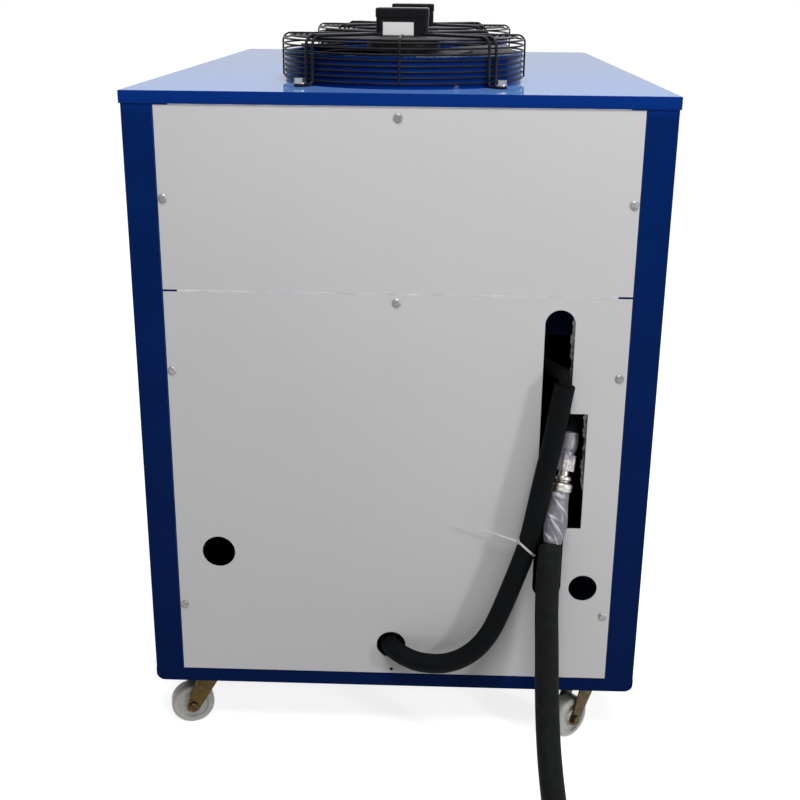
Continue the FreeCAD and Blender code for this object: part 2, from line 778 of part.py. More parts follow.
def terminal_box(place):
    narrow = BOX_W - 2 * BOX_LID_LAP
    return rounded_box(narrow, narrow, BOX_H, BOX_CORNER - BOX_LID_LAP, box_base(place))


def terminal_lid(place):
    base = box_base(place) + UP * BOX_H
    cap = rounded_box(BOX_W, BOX_W, BOX_LID_H, BOX_CORNER, base)
    top = [e for e in cap.Edges if e.CenterOfMass.z > base.z + BOX_LID_H - 1e-6]
    return cap.makeFillet(2.5, top)


def rating_plate(place):
    """The bare white plate on the box's side."""
    front = -BOX_W / 2 + BOX_LID_LAP
    corner = box_base(place) + V(PLATE_SHIFT - PLATE_W / 2, front - PLATE_T, PLATE_LIFT)
    return Part.makeBox(PLATE_W, PLATE_T, PLATE_H, corner)


def hex_bolt(place, out, shank):
    """A hex bolt with its washer. Place is under the washer and out is the way the head stands."""
    washer = spin([(0, 0), (WASHER_R, 0), (WASHER_R, WASHER_T), (0, WASHER_T)], place, out)
    head = hex_prism(BOLT_AF, BOLT_HEAD, place + out * WASHER_T, out)
    stem = Part.makeCylinder(BOLT_R, shank, place, out * -1)
    return washer.multiFuse([head, stem])


def bolts():
    """The hex bolts of both guards' feet and of the four caster plates."""
    solids = []
    for place in fan_places():
        for x, y in guard_bolt_spots(place):
            solids.append(hex_bolt(V(x, y, place.z + ARM_WIRE), UP, ARM_WIRE + SHEET + 8))
    for x, y in caster_bolt_spots():
        solids.append(hex_bolt(V(x, y, CASTER_H + SHEET), UP, SHEET + PLATE_THICK + 2))
    return Part.makeCompound(solids)


def caster_place(name):
    """The swivel axis's point at the plate's top, and the wheel's trailing direction."""
    side, far, heading = CASTERS[name]
    y = CAB_D - CASTER_Y if far else CASTER_Y
    turn = math.radians(heading)
    return at(side * CASTER_X, y, 0), V(math.cos(turn), math.sin(turn), 0)


def caster_bolt_spots():
    spots = []
    for name in CASTERS:
        place, trail = caster_place(name)
        for dx in (-PLATE_BOLT, PLATE_BOLT):
            for dy in (-PLATE_BOLT, PLATE_BOLT):
                spots.append((place.x + dx, place.y + dy))
    return spots


def crown_top():
    return CASTER_H - PLATE_THICK - RACE_H - RUN_GAP


def caster_plate(name):
    """The top plate, with its ball race and the riveted kingpin that the fork turns on."""
    place, trail = caster_place(name)
    plate = rounded_box(PLATE_SIZE, PLATE_SIZE, PLATE_THICK, PLATE_ROUND, place - UP * PLATE_THICK)
    top = -PLATE_THICK
    race = top - RACE_H
    head = race - RUN_GAP - CROWN_T - RUN_GAP
    end = head - KINGPIN_HEAD_H
    points = [(0, top), (RACE_R + 3, top), (RACE_R, race), (KINGPIN_R, race), (KINGPIN_R, head),
              (KINGPIN_HEAD_R, head), (KINGPIN_HEAD_R - 1.5, end), (0, end)]
    solid = plate.fuse(spin(points, place, UP))
    for dx in (-PLATE_BOLT, PLATE_BOLT):
        for dy in (-PLATE_BOLT, PLATE_BOLT):
            hole = Part.makeCylinder(BOLT_R + 0.3, PLATE_THICK * 2, place + V(dx, dy, -1.5 * PLATE_THICK))
            solid = solid.cut(hole)
    return solid


def caster_fork(name):
    """The pressed fork, built with the wheel trailing along +X, then turned. The axle bolt goes with it."""
    place, trail = caster_place(name)
    top = crown_top()
    half = WHEEL_W / 2 + CHEEK_GAP
    outer = half + CHEEK_T
    crown = Part.makeCylinder(CROWN_R, CROWN_T, V(0, 0, top - CROWN_T))
    strip = Part.makeBox(4 * CROWN_R, 2 * outer, 4 * CROWN_T, V(-2 * CROWN_R, -outer, top - 2 * CROWN_T))
    crown = crown.common(strip)
    reach = math.sqrt(CROWN_R**2 - outer**2)
    low = V(TRAIL, 0, WHEEL_R)
    front = V(-reach, 0, top)
    back = V(reach + 4, 0, top - 6)
    edges = []
    slope = math.atan2(low.z - front.z, low.x - front.x)
    left = low + V(math.sin(slope), 0, -math.cos(slope)) * CHEEK_END_R
    right = low + V(CHEEK_END_R, 0, 0)
    bottom = low + V(0.35, 0, -0.937) * CHEEK_END_R
    edges.append(Part.LineSegment(front, left).toShape())
    edges.append(Part.Arc(left, bottom, right).toShape())
    edges.append(Part.LineSegment(right, back).toShape())
    edges.append(Part.LineSegment(back, V(reach, 0, top)).toShape())
    edges.append(Part.LineSegment(V(reach, 0, top), front).toShape())
    cheek = Part.Face(Part.Wire(edges)).extrude(V(0, CHEEK_T, 0))
    cheek.translate(V(0, half, 0))
    other = cheek.mirror(V(0, 0, 0), V(0, 1, 0))
    fork = union([crown, cheek, other])
    fork = fork.cut(Part.makeCylinder(KINGPIN_R + KINGPIN_PLAY, 40, V(0, 0, top - 20)))
    fork = fork.cut(Part.makeCylinder(AXLE_R, 80, V(TRAIL, -40, WHEEL_R), SOFT))
    bolt = Part.makeCylinder(AXLE_R, 2 * outer, V(TRAIL, -outer, WHEEL_R), SOFT)
    r = AXLE_HEAD_R
    head = [(0, 0), (r, 0), (r, AXLE_HEAD_H - 1), (r - 1, AXLE_HEAD_H), (0, AXLE_HEAD_H)]
    ends = [spin(head, V(TRAIL, side * outer, WHEEL_R), V(0, side, 0)) for side in (-1, 1)]
    axle = bolt.multiFuse(ends)
    both = Part.makeCompound([fork, axle])
    both.rotate(V(0, 0, 0), UP, math.degrees(math.atan2(trail.y, trail.x)))
    both.translate(V(place.x, place.y, 0))
    return both


def caster_wheel(name):
    """A moulded wheel with round shoulders, recessed webs and hub bosses."""
    place, trail = caster_place(name)
    half = WHEEL_W / 2
    edge = WHEEL_EDGE
    rim = WHEEL_R - 9
    web = half - 4
    boss = HUB_BOSS_R
    side = [(AXLE_R + AXLE_PLAY, half), (boss, half), (boss + 1.5, web), (rim - 1.5, web), (rim, half - 1)]
    shoulder = []
    for i in range(7):
        a = math.radians(90 - 15 * i)
        shoulder.append((WHEEL_R - edge + edge * math.cos(a), half - 1 - edge + edge * math.sin(a)))
    upper = side + shoulder
    points = upper + [(r, -h) for r, h in upper[::-1]]
    centre = V(place.x, place.y, WHEEL_R) + trail * TRAIL
    axis = V(-trail.y, trail.x, 0)
    return spin(points, centre, axis)


def condenser():
    """The right finned coil: a core with upright fins on both faces, between two end plates."""
    outer = HALF_W - INLET_RECESS - INLET_DEPTH - 1
    inner = outer - COIL_T
    middle = (outer + inner) / 2
    low = SHELF_Z
    y = COIL_START + COIL_PLATE
    end = COIL_END - COIL_PLATE
    right = []
    left = []
    half = COIL_SPINE / 2
    while y + FIN_PITCH < end:
        fin = y + FIN_T
        right += [(outer, y), (outer, fin), (middle + half, fin), (middle + half, y + FIN_PITCH)]
        left += [(inner, y), (inner, fin), (middle - half, fin), (middle - half, y + FIN_PITCH)]
        y += FIN_PITCH
    right += [(middle + half, end)]
    left += [(middle - half, end)]
    points = [at(x, h, low) for x, h in right + left[::-1]]
    core = extrude(points, V(0, 0, COIL_H))
    plates = [
        block((inner, outer), (COIL_START, COIL_START + COIL_PLATE), (low, low + COIL_H)),
        block((inner, outer), (COIL_END - COIL_PLATE, COIL_END), (low, low + COIL_H)),
    ]
    return union([core] + plates)


def compressor():
    """A hermetic shell: domed ends, a weld seam and a foot plate."""
    x, y = COMPRESSOR_AT
    r = COMPRESSOR_R
    base = COMPRESSOR_FOOT
    top = base + COMPRESSOR_H
    dome = 38.0
    points = [(0, base + 4), (r - 30, base + 4), (r - 8, base + 18), (r, base + dome), (r, base + 150),
              (r + 4, base + 152), (r + 4, base + 160), (r, base + 162), (r, top - dome), (r - 10, top - 14),
              (r - 34, top - 3), (0, top)]
    shell = spin(points, at(x, y, SHEET), UP)
    foot = rounded_box(210, 150, 5, 20, at(x, y, SHEET + base))
    feet = [shell, foot]
    for dx in (-88, 88):
        for dy in (-58, 58):
            feet.append(Part.makeCylinder(13, base, at(x + dx, y + dy, SHEET)))
    return union(feet)


def water_tank():
    """The water tank: a folded box with a flanged lid."""
    low = SHEET
    outer = block(TANK_X, TANK_Y, (low, low + TANK_H))
    t = TANK_T
    inner = block((TANK_X[0] + t, TANK_X[1] - t), (TANK_Y[0] + t, TANK_Y[1] - t), (low + t, low + TANK_H))
    rim = 8
    cover = block((TANK_X[0] - rim, TANK_X[1] + rim), (TANK_Y[0] - rim, TANK_Y[1] + rim),
                  (low + TANK_H, low + TANK_H + TANK_LID))
    neck = Part.makeCylinder(38, 24, at(TANK_X[0] + 90, TANK_Y[1] - 90, low + TANK_H + TANK_LID))
    return union([outer.cut(inner), cover, neck])


def water_pump():
    """The pump: a motor barrel with cooling fins, a fan hood and a round casing, on a foot."""
    x, y = PUMP_AT
    z = PUMP_AXIS
    start = at(x - PUMP_L / 2, y, z)
    points = [(0, 0), (PUMP_R - 4, 0), (PUMP_R, 5), (PUMP_R, 34)]
    h = 34
    while h < 130:
        points += [(PUMP_R - 8, h), (PUMP_R - 8, h + 5), (PUMP_R, h + 5), (PUMP_R, h + 8)]
        h += 8
    points += [(PUMP_R + 8, h), (PUMP_R + 8, h + 52), (PUMP_R - 12, h + 62), (0, h + 62)]
    body = spin(points, start, V(1, 0, 0))
    foot = block((x - 80, x + 90), (y - 55, y + 55), (SHEET, SHEET + 8))
    web = block((x - 30, x + 40), (y - 40, y + 40), (SHEET + 4, z - PUMP_R + 22))
    outlet = Part.makeCylinder(18, PUMP_NECK, at(x + PUMP_OUT_X, y, z + PUMP_R), UP)
    return union([body, foot, web, outlet])


def receiver():
    x, y = RECEIVER_AT
    r = RECEIVER_R
    h = RECEIVER_H
    base = 14.0
    points = [(0, base), (r - 22, base + 4), (r - 4, base + 18), (r, base + 34), (r, h - 34), (r - 4, h - 18),
              (r - 22, h - 4), (0, h)]
    shell = spin(points, at(x, y, SHEET), UP)
    ring = spin([(r - 18, 0), (r - 14, 0), (r - 14, base + 12), (r - 18, base + 12)], at(x, y, SHEET), UP)
    return union([shell, ring])


def electric_box():
    """The electric box on the shelf, and the main switch's case behind the front panel."""
    outer = block((-BOX_X, BOX_X), BOX_Y, (SHELF_Z, SHELF_Z + EBOX_H))
    outer = outer.makeFillet(3, [e for e in outer.Edges if e.CenterOfMass.z > CASTER_H + SHELF_Z + 1])
    x, z = SWITCH_AT
    back = CAB_D - SHEET
    case = block((x - 24, x + 24), (back - SWITCH_DEPTH, back), (z - 24, z + 24))
    case = case.cut(Part.makeCylinder(KNOB_SHAFT_R + KNOB_PLAY, 60, at(x, CAB_D, z), V(0, -1, 0)))
    return Part.makeCompound([outer, case])


def refrigerant_pipes():
    """Copper pipes between the shell, the coils and the receiver, and the coils' return bends."""
    outer = HALF_W - INLET_RECESS - INLET_DEPTH - 1
    inner = outer - COIL_T
    x, y = COMPRESSOR_AT
    top = SHEET + COMPRESSOR_FOOT + COMPRESSOR_H
    solids = []
    rows = int(COIL_H / (4 * BEND_R))
    for i in range(rows):
        z = SHELF_Z + COIL_H / 2 + (i - (rows - 1) / 2) * 4 * BEND_R
        for depth in (inner + COIL_T / 4, outer - COIL_T / 4):
            bend = Part.makeTorus(BEND_R, BEND_TUBE_R, V(0, 0, 0), V(1, 0, 0), 0, 360, 360)
            bend = bend.common(Part.makeBox(100, 100, 100, V(-50, -100, -50)))
            bend.translate(at(depth, COIL_START, z))
            solids += [bend, mirror_x(bend)]
    under = SHELF_Z - SHEET
    turn = SHELF_Z - 60
    riser = tube([at(x, y, top), at(x, y, turn), at(x, y - 130, turn), at(x, y - 130, under)], 8, 24)
    x, y = RECEIVER_AT
    foot = at(x, y, SHEET + RECEIVER_H)
    liquid = tube([foot, at(x, y, turn), at(x, y + 80, turn), at(x, y + 80, under)], 6, 16)
    solids += [riser, liquid]
    return Part.makeCompound(solids)


def fit_line():
    top = at_slot(*FIT_TOP)
    end = at_slot(*FIT_END)
    return top, (end - top).normalize(), end


def fit_stations():
    """Distances down the fitting's line at which one piece ends and the next begins."""
    body = 9.0
    hexed = body + BODY_LEN + 3
    nipple = hexed + HEX_LEN
    collar = nipple + NIPPLE_LEN
    tail = collar + COLLAR_NUT_LEN
    return {"body": body, "hex": hexed, "nipple": nipple, "collar": collar, "tail": tail}


def supply_coupling():
    """The grey cast body with its hex end."""
    top, down, end = fit_line()
    s = fit_stations()
    length = s["hex"] - s["body"]
    r = BODY_R
    neck = r - 2.5
    points = [(0, 0), (r - 3, 0), (r, 3), (r, length - 9), (neck, length - 4), (neck, length), (0, length)]
    body = spin(points, top + down * s["body"], down)
    nut = hex_prism(HEX_AF, HEX_LEN, top + down * s["hex"], down)
    return union([body, nut])


def hose_nipple():
    """The brass nipple and its collar nut."""
    top, down, end = fit_line()
    s = fit_stations()
    start = top + down * s["nipple"]
    length = NIPPLE_LEN
    r = COLLAR_NUT_R
    full = length + COLLAR_NUT_LEN
    points = [(0, 0), (NIPPLE_R, 0), (NIPPLE_R, length), (r - 1.5, length), (r, length + 1.5)]
    points += [(r, full - 1.5), (r - 1.5, full), (0, full)]
    return spin(points, start, down)


def hose_clamp():
    """The clamp band round the hose end, with its screw housing."""
    top, down, end = fit_line()
    start = top + down * fit_stations()["tail"]
    inner = TAIL_R
    band = Part.makeCylinder(CLAMP_R, CLAMP_LEN, start, down)
    band = band.cut(Part.makeCylinder(inner, CLAMP_LEN, start, down))
    across = down.cross(SOFT).normalize()
    housing = Part.makeBox(8, 9, CLAMP_LEN - 3, V(-4, -4.5, 1.5))
    housing.Placement = FreeCAD.Placement(start + across * -(CLAMP_R + 0.5), FreeCAD.Rotation(UP, down))
    return union([band, housing.cut(Part.makeCylinder(inner + 1, 60, start - down * 20, down))])


def hose_tail():
    """The hoses' bare ends: from the collar nut to the foam, and from the loop's foam into the slot."""
    top, down, end = fit_line()
    start = top + down * fit_stations()["tail"]
    tail = Part.makeCylinder(TAIL_R, end.distanceToPoint(start), start, down)
    return Part.makeCompound([tail, loop_elbow()])


def film_wrap():
    """Clear film wound round the bare hose end."""
    top, down, end = fit_line()
    start = top + down * (fit_stations()["tail"] + CLAMP_LEN)
    length = end.distanceToPoint(start)
    inner = TAIL_R
    swell = [(0.0, 0.2), (0.2, 0.8), (0.45, 0.4), (0.7, 1.0), (0.9, 0.6), (1.0, 1.2)]
    outline = [(inner + FILM_T + grow, length * share) for share, grow in swell]
    return spin([(inner, 0)] + outline + [(inner, length)], start, down)


def outlet_points():
    """The hanging hose's route: along the fitting's line, down, and out over the floor."""
    top, down, end = fit_line()
    return [end, end + down * HOSE_LEAD] + [at_slot(*p) for p in HOSE_POINTS]


def outlet_hose():
    return cord("outlet_hose", outlet_points(), HOSE_R)


def coil_path():
    """One and a quarter turns on the floor, from quarter arcs that shrink as they go."""
    points = outlet_points()
    start = points[-1]
    heading = (points[-1] - points[-2]).normalize()
    edges = [Part.LineSegment(start, start + heading * COIL_LEAD).toShape()]
    start = start + heading * COIL_LEAD
    for radius in COIL_RADII:
        inward = V(heading.y, -heading.x, 0)
        centre = start + inward * radius
        middle = centre + (heading - inward) * (radius * math.sqrt(0.5))
        last = centre + heading * radius
        edges.append(Part.Arc(start, middle, last).toShape())
        start = last
        heading = inward
    return Part.Wire(edges), start, heading


def outlet_hose_coil():
    path = coil_path()[0]
    solid = sweep(path, HOSE_R)
    print("outlet_hose_coil radii", COIL_RADII, "length", round(path.Length),
          "share", round(solid.Volume / (math.pi * HOSE_R**2 * path.Length), 4))
    return solid


def hose_end_fitting():
    """The threaded tail fitting on the hose's far end."""
    path, place, heading = coil_path()
    nut = hex_prism(2 * END_NUT_R * math.cos(math.pi / 6), END_NUT_L, place, heading)
    r = END_STUB_R
    points = [(0, 0), (r, 0), (r, END_STUB_L - 1.5), (r - 1.5, END_STUB_L), (0, END_STUB_L)]
    stub = spin(points, place + heading * END_NUT_L, heading)
    bore = Part.makeCylinder(r - 3.5, END_STUB_L + END_NUT_L / 2, place + heading * (END_NUT_L / 2), heading)
    return nut.fuse(stub).cut(bore).removeSplitter()


def loop_points():
    return [at_slot(*p) for p in LOOP_POINTS]


def loop_hose():
    return cord("loop_hose", loop_points(), LOOP_R)


def loop_elbow_points():
    """The bare hose that leaves the foam's upper end and turns back through the slot."""
    first, second = loop_points()[:2]
    crown = first + (first - second).normalize() * 13
    return first, crown, crown + V(-20, 40, 0)


def loop_elbow():
    return tube(list(loop_elbow_points()), LOOP_BARE_R, 12)


def cable_tie():
    """A tie band round the looped hose, with its head and its loose tail."""
    points = loop_points()
    first = points[4]
    last = points[5]
    along = (last - first).normalize()
    place = first + (last - first) * TIE_AT
    axis = (along + V(TIE_LEAN, 0, 0)).normalize()
    inner = LOOP_R + TIE_GAP
    band = Part.makeCylinder(inner + TIE_T, TIE_W, place - axis * (TIE_W / 2), axis)
    band = band.cut(Part.makeCylinder(inner, TIE_W * 3, place - axis * (TIE_W * 1.5), axis))
    side = V(-0.9, -0.42, 0)
    side = (side - axis * side.dot(axis)).normalize()
    head = Part.makeBox(7, 7, 5, V(-3.5, -3.5, 0))
    head.Placement = FreeCAD.Placement(place + side * (inner + TIE_T - 0.6), FreeCAD.Rotation(UP, side))
    tail_way = V(-0.93, -0.1, 0.28).normalize()
    start = place + side * (inner + TIE_T + 2.0)
    tail = Part.makeBox(TIE_W, TIE_T, TIE_TAIL, V(-TIE_W / 2, -TIE_T / 2, 0))
    tail.Placement = FreeCAD.Placement(start, FreeCAD.Rotation(UP, tail_way))
    return union([band, head, tail])


def water_pipes():
    """The insulated pipe from the pump, and the bare pipes that join the looped hose to the tank."""
    top, down, end = fit_line()
    x, y = PUMP_AT
    outlet = at(x + PUMP_OUT_X, y, PUMP_AXIS + PUMP_R + PUMP_NECK)
    first = top + down * fit_stations()["body"]
    bend = top - down * 26
    turns = [at(*p) for p in SUPPLY_TURNS]
    over = V(outlet.x, outlet.y, turns[-1].z)
    supply = tube([first, bend, bend + V(0, 90, -8)] + turns + [over, outlet], PIPE_R, 20)
    points = loop_points()
    low = points[-1]
    into = (points[-1] - points[-2]).normalize()
    wall = at(TANK_X[1] - 40, TANK_Y[0], 60)
    foot = tube([low, low + into * 60, V(wall.x, low.y + 160, wall.z), wall], 10, 30)
    start, crown, past = loop_elbow_points()
    cover = at(TANK_X[1] - 120, TANK_Y[0] + 60, SHEET + TANK_H + TANK_LID)
    turn = at(*RETURN_TURN)
    above = V(cover.x, cover.y, turn.z - 2)
    along = (past - crown).normalize()
    inner = tube([past, past + along * 40, turn, above, cover], LOOP_BARE_R, 12)
    return Part.makeCompound([supply, foot, inner])


def foil_strip():
    """The silvery strip that sticks to the panel's back, at the slot's and the notch's right edges."""
    return extrude([at_slot(x, SHEET, z) for x, z in STRIP_POINTS], V(0, STRIP_T, 0))


def controller():
    """The temperature controller: a bezel on the panel and its case behind."""
    x, z = CONTROL_AT
    w = CONTROL_W / 2
    h = CONTROL_H / 2
    rim = CONTROL_RIM
    case = block((x - w + 0.5, x + w - 0.5), (CAB_D - CONTROL_DEPTH, CAB_D), (z - h + 0.5, z + h - 0.5))
    bezel = block((x - w - rim, x + w + rim), (CAB_D, CAB_D + CONTROL_PROUD), (z - h - rim, z + h + rim))
    bezel = bezel.makeFillet(2, [e for e in bezel.Edges if e.CenterOfMass.y > REAR_Y + CAB_D + 0.1])
    window = block((x - w, x + w), (CAB_D + CONTROL_PROUD - 1.2, CAB_D + CONTROL_PROUD + 1), (z - h, z + h))
    return union([case, bezel]).cut(window)


def main_switch():
    """The rotary switch's knob: a round base with a finger bar, on a shaft through the panel."""
    x, z = SWITCH_AT
    face = at(x, CAB_D, z)
    gap = RUN_GAP
    disc = spin([(0, gap), (KNOB_R, gap), (KNOB_R - 2, 8), (0, 8)], face, SOFT)
    bar = block((x - 5, x + 5), (CAB_D + 6, CAB_D + KNOB_PROUD), (z - KNOB_R + 3, z + KNOB_R - 3))
    bar = bar.makeFillet(2.5, [e for e in bar.Edges if e.CenterOfMass.y > REAR_Y + CAB_D + KNOB_PROUD - 0.1])
    shaft = Part.makeCylinder(KNOB_SHAFT_R, SWITCH_DEPTH - 2, face + V(0, 1, 0), V(0, -1, 0))
    return union([disc, bar, shaft])


def nodes():
    """Every node's name and solid."""
    front_upper, front_lower = front_panels()
    right = side_panel()
    grille = inlet_grille()
    coil = condenser()
    made = {
        "base_tray": base_tray(),
        "rear_posts": post(True),
        "front_posts": post(False),
        "cross_rails": cross_rails(),
        "mid_shelf": mid_shelf(),
        "lid": lid(),
        "rear_upper_panel": rear_upper_panel(),
        "rear_lower_panel": rear_lower_panel(),
        "front_upper_panel": front_upper,
        "front_lower_panel": front_lower,
        "side_panel_right": right,
        "side_panel_left": mirror_x(right),
        "inlet_grille_right": grille,
        "inlet_grille_left": mirror_x(grille),
        "panel_screws": panel_screws(),
        "bolts": bolts(),
        "condenser_right": coil,
        "condenser_left": mirror_x(coil),
        "compressor": compressor(),
        "water_tank": water_tank(),
        "water_pump": water_pump(),
        "receiver": receiver(),
        "electric_box": electric_box(),
        "refrigerant_pipes": refrigerant_pipes(),
        "water_pipes": water_pipes(),
        "supply_coupling": supply_coupling(),
        "hose_nipple": hose_nipple(),
        "hose_clamp": hose_clamp(),
        "hose_tail": hose_tail(),
        "film_wrap": film_wrap(),
        "cable_tie": cable_tie(),
        "loop_hose": loop_hose(),
        "outlet_hose": outlet_hose(),
        "outlet_hose_coil": outlet_hose_coil(),
        "hose_end_fitting": hose_end_fitting(),
        "foil_strip": foil_strip(),
        "controller": controller(),
        "main_switch": main_switch(),
    }
    for place, name in zip(fan_places(), ("rear", "front")):
        made["fan_collar_" + name] = fan_collar(place)
        made["fan_guard_" + name] = fan_guard(place)
        made["fan_motor_" + name] = fan_motor(place)
        made["fan_rotor_" + name] = fan_rotor(place)
        made["terminal_box_" + name] = terminal_box(place)
        made["terminal_lid_" + name] = terminal_lid(place)
    made["rating_plates"] = Part.makeCompound([rating_plate(p) for p in fan_places()])
    made["caster_plates"] = Part.makeCompound([caster_plate(name) for name in CASTERS])
    for name in CASTERS:
        made["caster_fork_" + name] = caster_fork(name)
        made["caster_wheel_" + name] = caster_wheel(name)
    return made


os.makedirs("parts", exist_ok=True)
for node, shape in nodes().items():
    if not shape.isValid():
        print("not valid:", node)
    shape.exportStep("parts/" + node + ".step")
    print(node, len(shape.Solids), "solids, faces", len(shape.Faces), "volume", round(shape.Volume))
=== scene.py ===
# %% [markdown]
# An air-cooled water chiller on casters. The solids of its sheet metal, fans and casters come packed,
# with their places in their meshes. This script gives every surface its finish and remakes the pieces
# that solids tell badly: hoses, nut rings, wound film, a cable tie and creased foil.
# All lengths are metres, the floor is z = 0, and the hose side faces -Y.

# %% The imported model
import json
import math

import bpy
import numpy as np
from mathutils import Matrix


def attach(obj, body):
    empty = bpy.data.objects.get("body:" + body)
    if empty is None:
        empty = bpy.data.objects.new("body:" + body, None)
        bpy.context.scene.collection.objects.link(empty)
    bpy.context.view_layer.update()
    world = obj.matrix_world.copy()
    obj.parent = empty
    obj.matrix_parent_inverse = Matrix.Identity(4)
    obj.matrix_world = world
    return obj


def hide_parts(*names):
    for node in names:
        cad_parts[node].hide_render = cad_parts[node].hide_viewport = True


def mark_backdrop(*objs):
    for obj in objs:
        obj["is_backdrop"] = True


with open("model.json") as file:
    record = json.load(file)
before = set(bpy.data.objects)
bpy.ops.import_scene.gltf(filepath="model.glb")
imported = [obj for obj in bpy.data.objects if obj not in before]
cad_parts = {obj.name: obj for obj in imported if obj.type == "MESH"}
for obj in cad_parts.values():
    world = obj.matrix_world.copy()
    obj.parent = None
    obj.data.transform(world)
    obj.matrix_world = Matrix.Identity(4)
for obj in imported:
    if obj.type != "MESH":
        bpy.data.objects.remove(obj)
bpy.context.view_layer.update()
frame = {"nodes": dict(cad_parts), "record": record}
slot_of = {part["node"]: part["material_slot"] for part in frame["record"]["subparts"]}

# %% [markdown]
# The camera stands a little right of the middle, a little higher than the lid, and looks down by
# nineteen degrees. Three angles would place it too, but their order is easily mixed up, so its axes are
# worked out and written as the columns of a matrix: right, up and backwards, because a camera looks along
# its own -Z.

# %% The camera
CAMERA_PLACE = (0.05305, -2.0740, 1.0632)
CAMERA_YAW = math.radians(-1.770)
CAMERA_PITCH = math.radians(19.022)
CAMERA_ROLL = math.radians(0.559)
FOCAL_PIXELS = 1194.15
PICTURE_PIXELS = 800.0


def camera_axes(yaw, pitch, roll):
    """Forward is level at yaw and dips by pitch; right and up then turn about it by roll."""
    ahead = np.array([math.sin(yaw) * math.cos(pitch), math.cos(yaw) * math.cos(pitch), -math.sin(pitch)])
    level = np.array([math.cos(yaw), -math.sin(yaw), 0.0])
    above = np.cross(level, ahead)
    right = math.cos(roll) * level + math.sin(roll) * above
    up = -math.sin(roll) * level + math.cos(roll) * above
    return right, up, -ahead


lens = bpy.data.cameras.new("camera")
lens.sensor_width = 36.0
lens.lens = FOCAL_PIXELS / PICTURE_PIXELS * lens.sensor_width
camera = bpy.data.objects.new("camera", lens)
placing = np.eye(4)
placing[:3, :3] = np.column_stack(camera_axes(CAMERA_YAW, CAMERA_PITCH, CAMERA_ROLL))
placing[:3, 3] = CAMERA_PLACE
camera.matrix_world = placing.T
bpy.context.scene.collection.objects.link(camera)
bpy.context.scene.camera = camera
bpy.context.scene.view_settings.view_transform = "Standard"
print("lens", round(lens.lens, 2), "mm, looking from", CAMERA_PLACE)

# %% [markdown]
# Places on the cabinet are easiest to read as a fitter measures them: across from its middle, inwards
# from the hose side, and up from its bottom, in millimetres. One function turns them into the frame.

# %% Places on the cabinet
HOSE_SIDE = -0.5487
CABINET_FOOT = 0.092


def at(points):
    """Millimetres across, inwards and up become metres in the frame: (x, y, z) / 1000 + the corner."""
    return np.asarray(points, float) / 1000 + np.array([0.0, HOSE_SIDE, CABINET_FOOT])


# %% [markdown]
# Both hoses are rubber in a thick tube of black foam, so their bends are long. The middle line of each is
# drawn towards a few places, which a fitter could read off the real hose with a ruler. They are listed one
# by one, because a bend that looks wrong is then cured by moving one of them. The outlet hose starts inside
# the lower end of a slanting fitting, whose line is used again for the pieces on it.

# %% Hose routes
LOOP_RADIUS = 0.014
SLOT_MIDDLE = 216.5
LOOP_ROUTE = at([
    (SLOT_MIDDLE + across, inwards, up) for across, inwards, up in [
        (8.4, -17.0, 475.8), (3.0, -17.5, 440.0), (-5.5, -19.5, 384.8), (-16.8, -21.5, 325.9),
        (-27.0, -23.0, 261.3), (-37.5, -23.5, 222.0), (-54.0, -24.0, 172.0), (-69.5, -25.0, 128.0),
        (-84.0, -26.0, 97.0), (-107.0, -26.5, 70.5), (-139.5, -26.5, 54.5), (-175.0, -24.5, 54.0),
        (-198.0, -19.5, 60.0), (-214.5, -9.0, 65.0), (-223.0, 8.0, 66.5), (-224.5, 25.0, 67.0)]
])
OUTLET_RADIUS = 0.017
FITTING_TOP = at((241.0, 28.0, 405.0))
FITTING_END = at((217.5, -31.0, 244.0))
FITTING_AXIS = (FITTING_END - FITTING_TOP) / np.linalg.norm(FITTING_END - FITTING_TOP)
OUTLET_ROUTE = np.vstack([
    FITTING_END + [-0.002, 0.001, 0.0025], FITTING_END + [-0.0035, -0.0115, -0.0115],
    at([(213.2, -43.5, 200.0), (213.8, -47.0, 150.0), (216.8, -50.0, 98.0), (218.5, -68.0, 30.0),
        (220.5, -110.0, -28.0), (224.0, -172.0, -65.0), (227.0, -240.0, -75.0), (228.0, -304.0, -75.0)]),
])
print("routes of", len(LOOP_ROUTE), "and", len(OUTLET_ROUTE), "points")

# %% [markdown]
# The rest of the outlet hose lies coiled on the floor beside the camera's view. A spiral would do, but
# quarter circles that shrink keep every bend wide and show the radius of each. A quarter starts where the
# last one ended, and turns the same way.

# %% The coil on the floor
COIL_LEAD = 0.062
COIL_RADII = (0.204, 0.193, 0.182, 0.171, 0.160)
COIL_POINTS_PER_QUARTER = 5


def coil_points(start, heading):
    """Quarter circles that shrink: centre + radius * (heading sin a - inward cos a), with a from 0 to 90."""
    rows = []
    place = start + heading * COIL_LEAD
    angles = np.linspace(0, np.pi / 2, COIL_POINTS_PER_QUARTER, endpoint=False)[:, None]
    for radius in COIL_RADII:
        inward = np.array([heading[1], -heading[0], 0.0])
        centre = place + inward * radius
        rows.append(centre + radius * (-inward * np.cos(angles) + heading * np.sin(angles)))
        place = centre + heading * radius
        heading = inward
    rows.append(place[None])
    return np.vstack(rows)


lead = OUTLET_ROUTE[-1] - OUTLET_ROUTE[-2]
coil = coil_points(OUTLET_ROUTE[-1], lead / np.linalg.norm(lead))
OUTLET_WHOLE = np.vstack([OUTLET_ROUTE, coil])
print("coil of", len(coil), "points")

# %% [markdown]
# A tube along a route could be a mesh, but a curve with a round bevel keeps the route editable. It is a
# NURBS spline of order three: it leaves its first point and reaches its last one, and is only drawn
# towards the points between, so it has no kinks. The order is set after the points, or it stays too low.
# The outlet hose's foam is drawn in a little at its top, so its first points are narrower.

